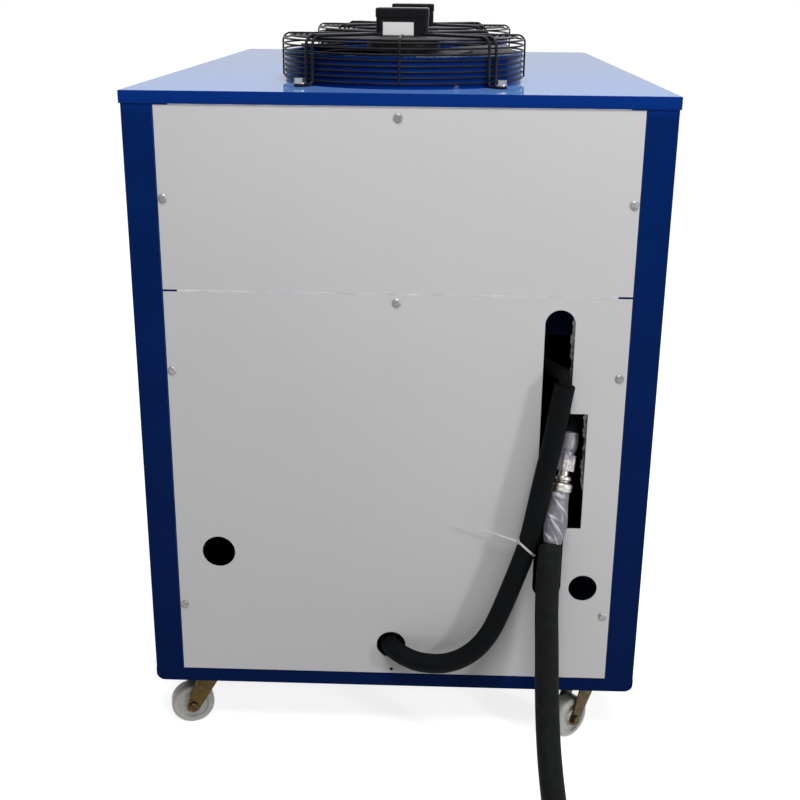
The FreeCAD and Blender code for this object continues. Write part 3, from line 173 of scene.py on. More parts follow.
# %% Tubes along the routes
OUTLET_WAIST = (0.92, 0.96, 0.96, 0.96, 0.98)
BEVEL_STEPS = 7
STEPS_PER_POINT = 14
SPAN_SAMPLES = 24


def hose(name, route, radius, waist=()):
    """A round tube about a NURBS spline that the route controls. Waist narrows its first points."""
    curve = bpy.data.curves.new(name, "CURVE")
    curve.dimensions = "3D"
    curve.bevel_depth = radius
    curve.bevel_resolution = BEVEL_STEPS
    curve.resolution_u = STEPS_PER_POINT
    curve.use_fill_caps = True
    spline = curve.splines.new("NURBS")
    spline.points.add(len(route) - 1)
    spline.points.foreach_set("co", np.column_stack([route, np.ones(len(route))]).ravel())
    share = np.ones(len(route))
    share[:len(waist)] = waist
    spline.points.foreach_set("radius", share)
    spline.order_u = 3
    spline.use_endpoint_u = True
    made = bpy.data.objects.new(name, curve)
    bpy.context.scene.collection.objects.link(made)
    return made


def curve_length(route):
    """Length of the quadratic spline that the route controls: the sum over each span's own parabola."""
    middle = (route[1:-2] + route[2:-1]) / 2
    start = np.vstack([route[:1], middle])
    stop = np.vstack([middle, route[-1:]])
    t = np.linspace(0, 1, SPAN_SAMPLES)[:, None, None]
    points = (1 - t) ** 2 * start + 2 * t * (1 - t) * route[1:-1] + t**2 * stop
    return float(np.linalg.norm(np.diff(points, axis=0), axis=2).sum())


loop_hose = hose("loop_hose_foam", LOOP_ROUTE, LOOP_RADIUS)
outlet_hose = hose("outlet_hose_foam", OUTLET_WHOLE, OUTLET_RADIUS, OUTLET_WAIST)
for made, route in ((loop_hose, LOOP_ROUTE), (outlet_hose, OUTLET_WHOLE)):
    print(made.name, "is", round(curve_length(route), 3), "m long")

# %% [markdown]
# A finish is a small network of shader nodes. Written out node by node it hides its own idea, so one
# class wraps a node's output and lets Python's + - * build the Math nodes.

# %% Shader maths in Python


class Value:
    """One output of a node. Sums and products of it are new Math nodes."""

    def __init__(self, finish, output):
        self.finish = finish
        self.output = output

    def math(self, operation, first, second):
        return self.finish.node("Math", {"operation": operation}, {0: first, 1: second})

    def __add__(self, other):
        return self.math("ADD", self, other)

    def __sub__(self, other):
        return self.math("SUBTRACT", self, other)

    def __rsub__(self, other):
        return self.math("SUBTRACT", other, self)

    def __mul__(self, other):
        return self.math("MULTIPLY", self, other)

    __radd__ = __add__
    __rmul__ = __mul__

    def between(self, low, high):
        """0 below low, 1 above high, and a straight ramp between: (x - low) / (high - low), clamped."""
        settings = {"clamp": True}
        return self.finish.node("MapRange", settings, {0: self, 1: low, 2: high, 3: 0.0, 4: 1.0})


# %% [markdown]
# A second class is one material. Every node comes from one method that sets its choices first and then
# its sockets, so that a finish reads as a list of what it is made of. Patterns are taken from the place
# on the object, in metres, and stay the same size on every piece.

# %% One material as a class


class Finish:
    """One material. Keyword values are set on the shader's own sockets."""

    def __init__(self, name, **constants):
        self.material = bpy.data.materials.new(name)
        self.material.use_nodes = True
        self.tree = self.material.node_tree
        self.shader = self.tree.nodes["Principled BSDF"]
        for key, value in constants.items():
            self.shader.inputs[key.replace("_", " ")].default_value = value
        self.place = self.node("TexCoord", out="Object")

    def node(self, kind, settings=None, values=None, out=0):
        made = self.tree.nodes.new("ShaderNode" + kind)
        for key, value in (settings or {}).items():
            if key == "stops":
                ramp = made.color_ramp.elements
                while len(ramp) < len(value):
                    ramp.new(0.5)
                for stop, (spot, color) in zip(ramp, value):
                    stop.position = spot
                    stop.color = (*color, 1.0)
            else:
                setattr(made, key, value)
        for key, value in (values or {}).items():
            if isinstance(value, Value):
                self.tree.links.new(value.output, made.inputs[key])
            else:
                made.inputs[key].default_value = value
        return Value(self, made.outputs[out])

    def noise(self, scale, detail=2.0, rough=0.5, place=None, distortion=0.0):
        values = {"Vector": place or self.place, "Scale": scale, "Detail": detail, "Roughness": rough,
                  "Distortion": distortion}
        return self.node("TexNoise", None, values)

    def cells(self, scale, out="Distance"):
        return self.node("TexVoronoi", None, {"Vector": self.place, "Scale": scale}, out)

    def stretched(self, scale):
        return self.node("Mapping", None, {"Vector": self.place, "Scale": scale})

    def height(self):
        """How high a place is above the floor, in metres."""
        return self.node("SeparateXYZ", None, {0: self.place}, 2)

    def mix(self, share, first, second):
        """Colour = first * (1 - share) + second * share."""
        values = {"Factor": share, 6: first, 7: second}
        return self.node("Mix", {"data_type": "RGBA"}, values, 2)

    def to(self, socket, value):
        self.tree.links.new(value.output, self.shader.inputs[socket])
        return self

    def bump(self, height, distance):
        """Height 1 stands the distance above height 0, in metres."""
        values = {"Height": height, "Distance": distance}
        return self.to("Normal", self.node("Bump", None, values, "Normal"))


def rgb(red, green, blue):
    return (red, green, blue, 1.0)


# %% [markdown]
# The frame and lid are sprayed with a glossy deep blue enamel. One plain gloss would look like plastic, so
# a clear coat gives it a second, sharper reflection, and a faint orange peel breaks that up. Where a
# surface is seen at a slant its colour turns pale blue, a painted reflection. The frame is darker near the
# floor, a painted shade, and lighter from just under the lid's top edge upwards, a painted highlight. The
# pale panels are powder coated: a satin, slightly grainy grey with a little grime where hands and dust
# reach it. Wire baskets, motors and the compressor's shell are nearly black.

# %% Paints


def blue_enamel():
    """Deep pigment under a clear coat. Slant = (facing - 0.50) / 0.43, clamped: the share of painted
    reflection.

    The coat follows it, so that a surface seen at a slant shines most.
    """
    f = Finish("blue_enamel", Coat_Roughness=0.07, Coat_IOR=1.6, Specular_IOR_Level=0.0)
    drift = f.noise(9.0, 3.0)
    color = f.mix(drift.between(0.3, 0.7), rgb(0.0008, 0.0165, 0.115), rgb(0.0012, 0.0200, 0.138))
    height = f.height()
    # Painted shade: the colour darkens towards the floor, up to 0.60 of the way to a near-black blue.
    color = f.mix((1.0 - height.between(0.05, 0.95)) * 0.60, color, rgb(0.0003, 0.0052, 0.036))
    # Painted highlight: above 0.912 m, on the lid's lip and top, the colour is mixed towards a brighter blue.
    color = f.mix(height.between(0.912, 0.930) * 0.55, color, rgb(0.0030, 0.0420, 0.300))
    slant = f.node("LayerWeight", None, {"Blend": 0.5}, "Facing").between(0.50, 0.93)
    # Painted reflection: the base colour turns pale blue where the surface is seen at a slant.
    f.to("Base Color", f.mix(slant, color, rgb(0.13, 0.30, 0.74)))
    f.to("Coat Weight", slant * 0.58 + 0.03)
    f.to("Roughness", 0.34 + f.noise(55.0, 6.0, 0.7) * 0.1)
    return f.bump(f.noise(420.0, 1.0), 0.00003)


def panel_powder():
    f = Finish("panel_powder", Specular_IOR_Level=0.45)
    drift = f.noise(2.2, 2.0)
    grain = f.noise(900.0, 2.0)
    color = f.mix(drift.between(0.3, 0.7), rgb(0.590, 0.588, 0.612), rgb(0.622, 0.618, 0.640))
    grime = f.noise(38.0, 8.0, 0.68).between(0.60, 0.86)
    color = f.mix(grime * 0.10, color, rgb(0.30, 0.29, 0.27))
    f.to("Base Color", f.mix(grain * 0.05, color, rgb(0.42, 0.42, 0.43)))
    f.to("Roughness", 0.40 + grime * 0.12 + grain * 0.08)
    return f.bump(grain + drift * 0.3, 0.00003)


def black_powder():
    f = Finish("black_powder", Specular_IOR_Level=0.10)
    patch = f.noise(60.0, 4.0)
    f.to("Base Color", f.mix(patch.between(0.35, 0.75), rgb(0.008, 0.009, 0.012), rgb(0.020, 0.021, 0.025)))
    f.to("Roughness", 0.30 + patch * 0.16)
    return f.bump(f.noise(1500.0, 1.0), 0.00002)


def shell_enamel(name, dark, pale, rough):
    f = Finish(name, Specular_IOR_Level=0.12)
    patch = f.noise(22.0, 5.0, 0.6)
    f.to("Base Color", f.mix(patch.between(0.35, 0.75), dark, pale))
    f.to("Roughness", rough + patch * 0.15)
    return f.bump(f.noise(600.0, 2.0), 0.00004)


# %% [markdown]
# Metals take their colour from what they mirror, so their own detail is in the roughness. Bright zinc is
# slightly spangled. Yellow zinc drifts between straw and dark olive, and grime dulls it; all its tones are
# kept dark, a painted shade of the casters under the cabinet. The coupling's casting is pitted. Fins and
# the tank's sheet are brushed, which a noise stretched along one direction shows with fewer nodes than a
# pattern of lines.

# %% Metals


def plated(name, pale, dark, rough, scale=90.0, spangle=0.0):
    f = Finish(name, Metallic=1.0)
    patch = f.noise(scale, 5.0, 0.6)
    color = f.mix(patch.between(0.3, 0.72), pale, dark)
    f.to("Roughness", rough + patch * 0.22)
    if spangle:
        flake = f.cells(spangle, out="Color")
        color = f.mix(f.node("SeparateColor", None, {0: flake}) * 0.35, color, dark)
    f.to("Base Color", color)
    return f.bump(f.noise(1300.0, 2.0), 0.00003)


def yellow_zinc():
    """A passivated skin: colour follows a drifting noise through four stops, darkened as painted shade, and
    grime dulls it.
    """
    f = Finish("yellow_zinc", Metallic=1.0)
    drift = f.noise(46.0, 3.0, 0.6, distortion=0.8)
    # The stops are kept dark: painted shade of the casters under the cabinet.
    straw = {"stops": [(0.30, (0.040, 0.026, 0.0080)), (0.46, (0.078, 0.056, 0.018)),
                       (0.58, (0.052, 0.032, 0.014)), (0.72, (0.028, 0.021, 0.0090))]}
    color = f.node("ValToRGB", straw, {0: drift})
    grime = f.noise(210.0, 6.0, 0.7).between(0.52, 0.8)
    f.to("Base Color", f.mix(grime * 0.55, color, rgb(0.012, 0.010, 0.006)))
    f.to("Metallic", 1.0 - grime * 0.5)
    f.to("Roughness", 0.30 + grime * 0.3 + drift * 0.1)
    return f.bump(f.noise(900.0, 3.0), 0.00005)


def cast_metal():
    """Grey casting: half metal, half oxide skin, with dark pits and a paler machined end below a height."""
    f = Finish("cast_grey", Metallic=0.55, Specular_IOR_Level=0.3)
    pits = f.noise(420.0, 5.0, 0.65).between(0.50, 0.72)
    cloud = f.noise(90.0, 3.0)
    machined = 1.0 - f.height().between(0.4555, 0.4575)
    color = f.mix(cloud.between(0.3, 0.7), rgb(0.185, 0.180, 0.215), rgb(0.27, 0.265, 0.30))
    color = f.mix(machined, color, rgb(0.34, 0.32, 0.345))
    f.to("Base Color", f.mix(pits * 0.55, color, rgb(0.060, 0.058, 0.062)))
    f.to("Roughness", 0.36 + pits * 0.3)
    return f.bump(pits * -1.0 + cloud, 0.0004)


def brushed(name, tone, along):
    f = Finish(name, Metallic=1.0)
    streak = f.noise(60.0, 5.0, 0.7, f.stretched(along))
    f.to("Base Color", f.mix(streak, rgb(*(0.8 * c for c in tone)), rgb(*tone)))
    f.to("Roughness", 0.24 + streak * 0.22)
    return f.bump(streak, 0.00004)


# %% [markdown]
# Rubber, foam and moulded plastics hold their detail in the bump. The foam tube has a skin of fine pores
# with scuffs where it rubbed, and the outlet hose's foam is newer and paler than the loop's. Nylon wheels
# are cloudy white with grey grime. The clear film shows mostly its folds, so its colour and its opacity
# follow them and a creased noise; the pale fold crests are partly a painted highlight.

# %% Foam, rubber and plastics


def foam_skin(name, dark, pale):
    f = Finish(name, Specular_IOR_Level=0.06)
    pores = f.cells(620.0)
    scuff = f.noise(70.0, 7.0, 0.7)
    lumps = f.noise(45.0, 2.0)
    color = f.mix(scuff.between(0.42, 0.78), dark, pale)
    f.to("Base Color", f.mix((1.0 - pores) * 0.06, color, rgb(0.030, 0.032, 0.034)))
    f.to("Roughness", 0.60 + scuff * 0.2)
    return f.bump(pores * 0.5 + scuff * 0.7 + lumps * 2.6, 0.0006)


def moulded(name, dark, pale, rough, gloss=0.5):
    f = Finish(name, Specular_IOR_Level=gloss)
    patch = f.noise(30.0, 5.0, 0.6)
    f.to("Base Color", f.mix(patch.between(0.35, 0.75), dark, pale))
    f.to("Roughness", rough + patch * 0.14)
    return f.bump(f.noise(1100.0, 2.0), 0.00004)


def nylon():
    f = Finish("nylon", Subsurface_Weight=0.25, Subsurface_Scale=0.004, Specular_IOR_Level=0.5)
    grime = f.noise(120.0, 7.0, 0.7).between(0.50, 0.80)
    cloud = f.noise(60.0, 3.0)
    color = f.mix(cloud, rgb(0.42, 0.42, 0.39), rgb(0.50, 0.50, 0.47))
    f.to("Base Color", f.mix(grime * 0.35, color, rgb(0.36, 0.34, 0.31)))
    f.to("Roughness", 0.30 + grime * 0.3)
    return f.bump(f.noise(700.0, 3.0), 0.00005)


def clear_film():
    """Pale where folded double, as the crest attribute tells, and partly a painted highlight there; thin and
    grey between.
    """
    f = Finish("clear_film", Roughness=0.22, IOR=1.45, Specular_IOR_Level=0.35)
    crest = f.node("Attribute", {"attribute_name": "crest"}, out="Fac")
    crease = f.noise(60.0, 5.0, 0.55, distortion=1.0)
    # Pale where the film is folded double, and partly a painted highlight of the fold crests.
    double_fold_and_highlight = (crest * 0.75 + crease.between(0.45, 0.75) * 0.35).between(0.12, 0.85)
    f.to("Base Color", f.mix(double_fold_and_highlight, rgb(0.25, 0.255, 0.30), rgb(0.66, 0.66, 0.71)))
    f.to("Alpha", 0.80 + double_fold_and_highlight * 0.18)
    return f.bump(crease + f.noise(240.0, 3.0) * 0.15, 0.0010)


def creased_foil():
    f = Finish("creased_foil", Metallic=0.85)
    facet = f.cells(150.0)
    soot = f.noise(160.0, 4.0, 0.6).between(0.42, 0.62)
    color = f.mix(facet, rgb(0.15, 0.15, 0.155), rgb(0.050, 0.052, 0.056))
    f.to("Base Color", f.mix(soot * 0.8, color, rgb(0.030, 0.031, 0.034)))
    f.to("Roughness", 0.28 + facet * 0.3)
    return f.bump(facet + f.noise(300.0, 4.0) * 0.4, 0.0016)


# %% [markdown]
# Each solid of the imported model names the finish it has. The table below pairs those names with the
# finishes made above, and every solid is then given its own. Three solids look unlike the rest of their
# kind, so they are listed with a finish of their own: a shelf given the frame's dark blue as painted shade
# inside the slot, a hose end without foam, and screws whose darker zinc is painted shade.

# %% Finishes by name
finishes = {
    "blue_paint": blue_enamel(),
    "panel_paint": panel_powder(),
    "zinc": plated("bright_zinc", rgb(0.58, 0.59, 0.61), rgb(0.30, 0.31, 0.33), 0.24),
    # A darker copy of bright zinc for the screws: painted shade.
    "shaded_screw_zinc": plated("shaded_screw_zinc", rgb(0.34, 0.33, 0.33), rgb(0.16, 0.155, 0.15), 0.32),
    "yellow_zinc": yellow_zinc(),
    "black_wire": black_powder(),
    "black_plastic": moulded("black_moulded", rgb(0.0040, 0.0045, 0.0060), rgb(0.011, 0.0115, 0.0140), 0.36,
                             gloss=0.07),
    "motor_grey": shell_enamel("motor_paint", rgb(0.010, 0.010, 0.011), rgb(0.026, 0.026, 0.028), 0.34),
    "white_plate": moulded("bare_plate", rgb(0.74, 0.74, 0.76), rgb(0.82, 0.82, 0.84), 0.40),
    "white_nylon": nylon(),
    "foam": foam_skin("old_foam", rgb(0.0014, 0.0024, 0.0032), rgb(0.0046, 0.0064, 0.0078)),
    "new_foam": foam_skin("new_foam", rgb(0.0080, 0.0090, 0.0095), rgb(0.0170, 0.0180, 0.0185)),
    "bare_hose": moulded("bare_hose", rgb(0.0015, 0.0016, 0.0018), rgb(0.004, 0.004, 0.0045), 0.5,
                         gloss=0.05),
    "hose_rubber": moulded("hose_rubber", rgb(0.16, 0.16, 0.165), rgb(0.25, 0.25, 0.25), 0.42),
    "film": clear_film(),
    "brass": plated("nickelled_brass", rgb(0.56, 0.54, 0.50), rgb(0.34, 0.32, 0.28), 0.22),
    "cast_grey": cast_metal(),
    "tie_white": moulded("tie_nylon", rgb(0.46, 0.46, 0.47), rgb(0.58, 0.58, 0.58), 0.30),
    "foil": creased_foil(),
    "copper": plated("drawn_copper", rgb(0.68, 0.30, 0.17), rgb(0.38, 0.16, 0.09), 0.26),
    "fin_aluminium": brushed("fin_aluminium", (0.62, 0.63, 0.65), (1.0, 1.0, 9.0)),
    "tank_steel": brushed("tank_steel", (0.60, 0.61, 0.62), (1.0, 1.0, 14.0)),
    "shell_black": shell_enamel("shell_enamel", rgb(0.010, 0.010, 0.011), rgb(0.022, 0.022, 0.024), 0.26),
    "galvanised": plated("galvanised", rgb(0.60, 0.61, 0.62), rgb(0.42, 0.43, 0.45), 0.34, 40.0, 160.0),
}
# The shelf's dark blue and the screws' darker zinc are painted shade.
OWN_FINISH = {"mid_shelf": "blue_paint", "hose_tail": "bare_hose", "panel_screws": "shaded_screw_zinc"}


def dress(piece, finish):
    """A piece gets that finish in place of every material it has."""
    piece.data.materials.clear()
    piece.data.materials.append(finishes[finish].material)


for name, solid in frame["nodes"].items():
    dress(solid, OWN_FINISH.get(name, slot_of[name]))
print(len(finishes), "finishes on", len(frame["nodes"]), "solids")

# %% [markdown]
# A remade piece hides the solids that it stands for, and moves with the same group. The two hoses come
# first. A real hose has one fixed length and something on its far end: the loop goes back into the
# cabinet, and the outlet hose carries a fitting.

# %% The hoses get their finish


def settle(piece, slot, body, stands_for, finish=None):
    """A finished piece gets its finish, rides its body and hides the solids that it stands for."""
    dress(piece, finish or slot)
    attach(piece, body)
    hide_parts(*stands_for)


settle(loop_hose, "foam", "cabinet", ["loop_hose"])
settle(outlet_hose, "foam", "cabinet", ["outlet_hose", "outlet_hose_coil"], "new_foam")
print("hoses of", 2 * LOOP_RADIUS, "and", 2 * OUTLET_RADIUS, "m across")

# %% [markdown]
# The small pieces that solids tell badly are remade as skins. Sculpting would do for one of them, but a
# formula can be read and changed. A skin is a stack of rings. Each ring closes on itself, and neighbouring
# rings are joined by four-sided faces. A fan of triangles closes each end, so the piece is watertight, and
# the corners of every face are listed so that it looks outwards.

# %% Skins from rings


def skin(name, rings, sharp, endless=False):
    """A stack of rings, each of as many points as the others, becomes one closed mesh.

    Faces are (i, j), (i, j + 1), (i + 1, j + 1), (i + 1, j) between rings i and i + 1, with a fan from the
    middle of each end ring. An endless stack joins its last ring to its first instead. Edges that turn
    by more than sharp degrees are left unsmoothed.
    """
    rings = np.asarray(rings, float)
    count, around = rings.shape[:2]
    row, column = np.meshgrid(np.arange(count if endless else count - 1), np.arange(around), indexing="ij")
    after, turn = (row + 1) % count, (column + 1) % around
    corners = [row * around + column, row * around + turn, after * around + turn, after * around + column]
    faces = np.stack(corners, -1).reshape(-1, 4).tolist()
    points = rings.reshape(-1, 3)
    if not endless:
        first, last = len(points), len(points) + 1
        points = np.vstack([points, rings[0].mean(0), rings[-1].mean(0)])
        ring = np.arange(around)
        after = (ring + 1) % around
        far = (count - 1) * around
        faces += np.stack([np.full(around, first), after, ring], -1).tolist()
        faces += np.stack([np.full(around, last), far + ring, far + after], -1).tolist()
    mesh = bpy.data.meshes.new(name)
    mesh.from_pydata(points.tolist(), [], faces)
    mesh.shade_smooth()
    mesh.set_sharp_from_angle(angle=math.radians(sharp))
    made = bpy.data.objects.new(name, mesh)
    bpy.context.scene.collection.objects.link(made)
    return made


def turned(start, axis, stations, radii, around=72):
    """Rings about a straight line: start + axis * station + radius * (u cos a + v sin a).

    U is the way inwards, made square to the axis, and v = axis x u.
    """
    a = np.linspace(0, 2 * np.pi, around, endpoint=False)[:, None]
    u = np.array([0.0, 1.0, 0.0]) - axis[1] * axis
    u /= np.linalg.norm(u)
    spokes = np.cos(a) * u + np.sin(a) * np.cross(axis, u)
    radii = np.asarray(radii, float)
    radii = radii[:, None] if radii.ndim == 1 else radii
    return start + np.asarray(stations)[:, None, None] * axis + radii[:, :, None] * spokes


# %% [markdown]
# Below the coupling's hex a short dark neck leads to two bright nut rings. Each could be a cylinder with a
# bevel, but they share one line, so they are one turned piece: a profile of radius against distance down
# the fitting's line, with small chamfers, carried round that line.

# %% The nut rings on the hose end
RING_PROFILE = np.array([
    (64.0, 8.0), (71.0, 8.0), (71.2, 10.0), (72.0, 11.6), (73.4, 12.4), (76.4, 12.4), (77.8, 11.6),
    (78.6, 10.4), (80.4, 10.4), (81.0, 13.4), (82.0, 14.8), (83.6, 15.6), (88.0, 15.6), (89.2, 15.0),
    (90.2, 15.6), (92.4, 15.2), (93.6, 14.0), (94.0, 12.6),
]) / 1000
nut_rings = skin("nut_rings", turned(FITTING_TOP, FITTING_AXIS, *RING_PROFILE.T), sharp=28.0)
settle(nut_rings, "brass", "cabinet", ["hose_nipple", "hose_clamp"])
print("nut rings", len(nut_rings.data.polygons), "faces")

# %% [markdown]
# The bare hose end is wound in clear film. Film bridges hollows and gathers in slanting folds. A noise
# would crumple it evenly, so its skin is a smooth sleeve that swells in the middle, with a handful of
# ridges. Each ridge climbs round the sleeve at its own slope, and fades away before it has gone all the
# way round. How much a point is on a ridge is kept on the mesh, and the finish turns pale there, partly
# as a painted highlight.

# %% The film round the hose end
FILM_START, FILM_END = 0.0935, 0.1725
FILM_ROWS, FILM_AROUND = 150, 120
# The sleeve's radius, in millimetres, at each share of the way down.
FILM_SWELL = np.array([(0.0, 12.9), (0.18, 13.2), (0.34, 14.6), (0.52, 16.4), (0.66, 15.8), (0.80, 13.9),
                       (0.90, 12.6), (1.0, 11.2)]) * (1.0, 0.001)
# Each fold is its share of the way down, the angle of its middle, its slope, its height in millimetres,
# its width as a share of the sleeve, and its reach round the sleeve in radians.
FILM_FOLDS = [
    (0.07, 3.4, -0.3, 1.0, 0.040, 0.8), (0.26, 3.0, -1.5, 1.5, 0.030, 0.9),
    (0.45, 3.7, -0.7, 1.7, 0.022, 0.6), (0.57, 3.4, -2.6, 1.3, 0.045, 0.5),
    (0.66, 2.9, -2.1, 1.5, 0.022, 0.8), (0.80, 3.9, -0.9, 1.1, 0.035, 0.6),
    (0.88, 2.8, -2.6, 1.1, 0.020, 0.6), (0.45, 0.6, 1.2, 1.4, 0.040, 1.2),
]
CLIMB_PER_RADIAN = 0.10
RIPPLE = 0.0002
RIPPLES_ROUND, RIPPLES_DOWN, RIPPLE_BEATS = 9, 21, 17


def film_sleeve(share, angle):
    """Radius = swell + sum of height * ridge + a fine ripple, and crest = the largest ridge at the point.

    Ridge = exp(-(distance across the fold / its width)^2 - (angle from its middle / its reach)^2).
    """
    radius = np.interp(share, *FILM_SWELL.T)
    crest = np.zeros_like(radius + angle)
    for place, middle, slope, height, wide, reach in FILM_FOLDS:
        off = (angle - middle + np.pi) % (2 * np.pi) - np.pi
        away = share - place - slope * off * CLIMB_PER_RADIAN
        ridge = np.exp(-(away / wide) ** 2 - (off / reach) ** 2)
        radius = radius + height / 1000 * ridge
        crest = np.maximum(crest, ridge)
    ripple = np.sin(RIPPLES_ROUND * angle + RIPPLES_DOWN * share) * np.sin(RIPPLE_BEATS * share)
    return radius + RIPPLE * ripple, crest


share = np.linspace(0, 1, FILM_ROWS)
angle = np.linspace(0, 2 * np.pi, FILM_AROUND, endpoint=False)
film_radii, film_crests = film_sleeve(share[:, None], angle[None, :])
stations = FILM_START + (FILM_END - FILM_START) * share
rings = turned(FITTING_TOP, FITTING_AXIS, stations, film_radii, FILM_AROUND)
film = skin("film_wrap_folds", rings, sharp=60.0)
end_middles = [0.0, 0.0]
crests = film.data.attributes.new("crest", "FLOAT", "POINT")
crests.data.foreach_set("value", np.append(film_crests.ravel(), end_middles).astype(np.float32))
settle(film, "film", "cabinet", ["film_wrap"])
print("film sleeve", len(film.data.polygons), "faces")

# %% [markdown]
# A cable tie is a flat strap with a small square head. A bent box would do for it, but one helper that
# lays a flat band along any path makes all three of its parts. The strap lies slanting round the foam
# tube, so its path is the oval in which a tilted plane cuts the tube: one half axis is the tube's radius,
# and the other is that radius over the cosine of the tilt. The long tail sticks out of the head.

# %% The cable tie
TIE_MIDDLE = at((SLOT_MIDDLE - 32.6, -23.3, 239.0))
TIE_SLANT = np.array([0.735, 0.0, -0.678])
TIE_DEEP = np.array([0.0, 0.99, -0.35])
TIE_TILT = math.radians(27.0)
TIE_RADIUS = LOOP_RADIUS + 0.0001
STRAP_WIDTH, STRAP_THICK = 0.0030, 0.0013
HEAD_MIDDLE = TIE_MIDDLE + TIE_SLANT * -0.0160 + TIE_DEEP * -0.0035
HEAD_LENGTH, HEAD_WIDTH, HEAD_THICK = 0.0058, 0.0056, 0.0046
TAIL_WIDTH, TAIL_THICK = STRAP_WIDTH * 0.9, 0.0010
TAIL_REACH = np.array([-0.91, -0.05, 0.34]) * 0.058
TAIL_BOW = np.array([0.0, -0.001, 0.001])


def strap(name, path, outward, width, thick, endless=False):
    """A flat band along a path: corners at path +- outward * thick / 2 +- side * width / 2.

    Along is the path's direction, outward is made square to it, and side = along x outward.
    """
    along = np.roll(path, -1, 0) - np.roll(path, 1, 0) if endless else np.gradient(path, axis=0)
    along /= np.linalg.norm(along, axis=1)[:, None]
    outward = outward - (outward * along).sum(1)[:, None] * along
    outward /= np.linalg.norm(outward, axis=1)[:, None]
    side = np.cross(along, outward)
    spots = [(-0.5, -0.5), (0.5, -0.5), (0.5, 0.5), (-0.5, 0.5)]
    rings = np.stack([path + outward * (p * thick) + side * (q * width) for p, q in spots], 1)
    return skin(name, rings, 30.0, endless)


a = np.linspace(0, 2 * np.pi, 72, endpoint=False)[:, None]
spoke = TIE_SLANT * np.cos(a) / math.cos(TIE_TILT) + TIE_DEEP * np.sin(a)
tie_band = strap("tie_band", TIE_MIDDLE + spoke * TIE_RADIUS, spoke, STRAP_WIDTH, STRAP_THICK, True)
t = np.linspace(0, 1, 5)[:, None]
head_path = HEAD_MIDDLE + TIE_SLANT * (t - 0.5) * HEAD_LENGTH
tie_head = strap("tie_head", head_path, np.tile([-0.5, -0.8, 0.0], (5, 1)), HEAD_WIDTH, HEAD_THICK)
t = np.linspace(0, 1, 24)[:, None]
tail_path = HEAD_MIDDLE + TAIL_REACH * t + TAIL_BOW * t * t
tie_tail = strap("tie_tail", tail_path, np.tile([0.2, -0.9, 0.3], (24, 1)), TAIL_WIDTH, TAIL_THICK)
for piece in (tie_band, tie_head, tie_tail):
    settle(piece, "tie_white", "cabinet", ["cable_tie"])
    print(piece.name, len(piece.data.polygons), "faces")

# %% [markdown]
# A thin silvery strip sticks out behind the right edges of the slot and of the notch. It is torn and
# creased, so its free edge wanders, and it stands off the panel by a changing amount. A cloth simulation
# could crumple it, but three sines of different lengths look the same at this size and stay where they
# are put.

# %% The creased strips
PANEL_BACK = 1.6
STRIP_GAP = 1.6
STRIP_THICK = 0.3
CREASE_DEPTH = 0.55
STRIP_WAVES = [(60.0, 1.0), (23.0, 0.8), (9.0, 0.5)]
STRIP_ROWS, STRIP_COLUMNS = 90, 9
FULL_TURN = 6.283
LAST_PHASE = 6.3
CREASE_LEAN = 3
FADE_PLACE = 1.2


def creased_strip(name, low, high, left, right, seed):
    """Two sheets a strip's thickness apart, with x from 0 at the free edge to 1 at the hidden one.

    Free edge and depth are each a sum of three sines of the height, each with a seeded phase, and both
    fade towards the hidden edge.
    """
    random = np.random.default_rng(seed)
    z = np.linspace(low, high, STRIP_ROWS)[:, None]
    x = np.linspace(0, 1, STRIP_COLUMNS)[None, :]
    edge = 0.0
    for length, size in STRIP_WAVES:
        edge = edge + size * np.sin(z * 2 * np.pi / length + random.uniform(0, LAST_PHASE))
    crease = 0.0
    for length, size in STRIP_WAVES:
        phase = x * CREASE_LEAN + random.uniform(0, LAST_PHASE)
        crease = crease + size * np.sin(z * FULL_TURN / length + phase)
    width = left + edge * (1 - x) + (right - left) * x
    depth = PANEL_BACK + STRIP_GAP + crease * CREASE_DEPTH * (FADE_PLACE - x)
    front = np.stack([width, depth, np.broadcast_to(z, depth.shape)], -1)
    back = front[:, ::-1] + np.array([0.0, STRIP_THICK, 0.0])
    return skin(name, at(np.concatenate([front, back], 1)), sharp=50.0)


slot_strip = creased_strip("slot_strip", 470.0, 564.0, SLOT_MIDDLE + 16.0, SLOT_MIDDLE + 25.0, 4)
notch_strip = creased_strip("notch_strip", 318.0, 441.0, SLOT_MIDDLE + 39.5, SLOT_MIDDLE + 48.5, 9)
for piece in (slot_strip, notch_strip):
    settle(piece, "foil", "cabinet", ["foil_strip"])
    print(piece.name, len(piece.data.polygons), "faces")

# %% [markdown]
# The surroundings are plain white. A floor that only glowed would take no shadow, and one that didn't
# glow would look grey, so it is a pale sheet with a glow that only the camera sees, directly or in a
# mirror. The glow is a little weaker near the machine, so that its shadow stays faintly there.

# %% The floor
FLOOR_HALF = 30.0
SHADED_GLOW, FAR_GLOW = 0.83, 0.93
SHADED_REACH, FAR_REACH = 1.2, 3.2


def seen_directly(finish):
    """1 for rays from the camera, off a mirror surface or through a clear one, and 0 for falling light."""
    rays = [finish.node("LightPath", out="Is %s Ray" % kind) for kind in ("Camera", "Glossy", "Transmission")]
    return (rays[0] + rays[1] + rays[2]).between(0.0, 1.0)


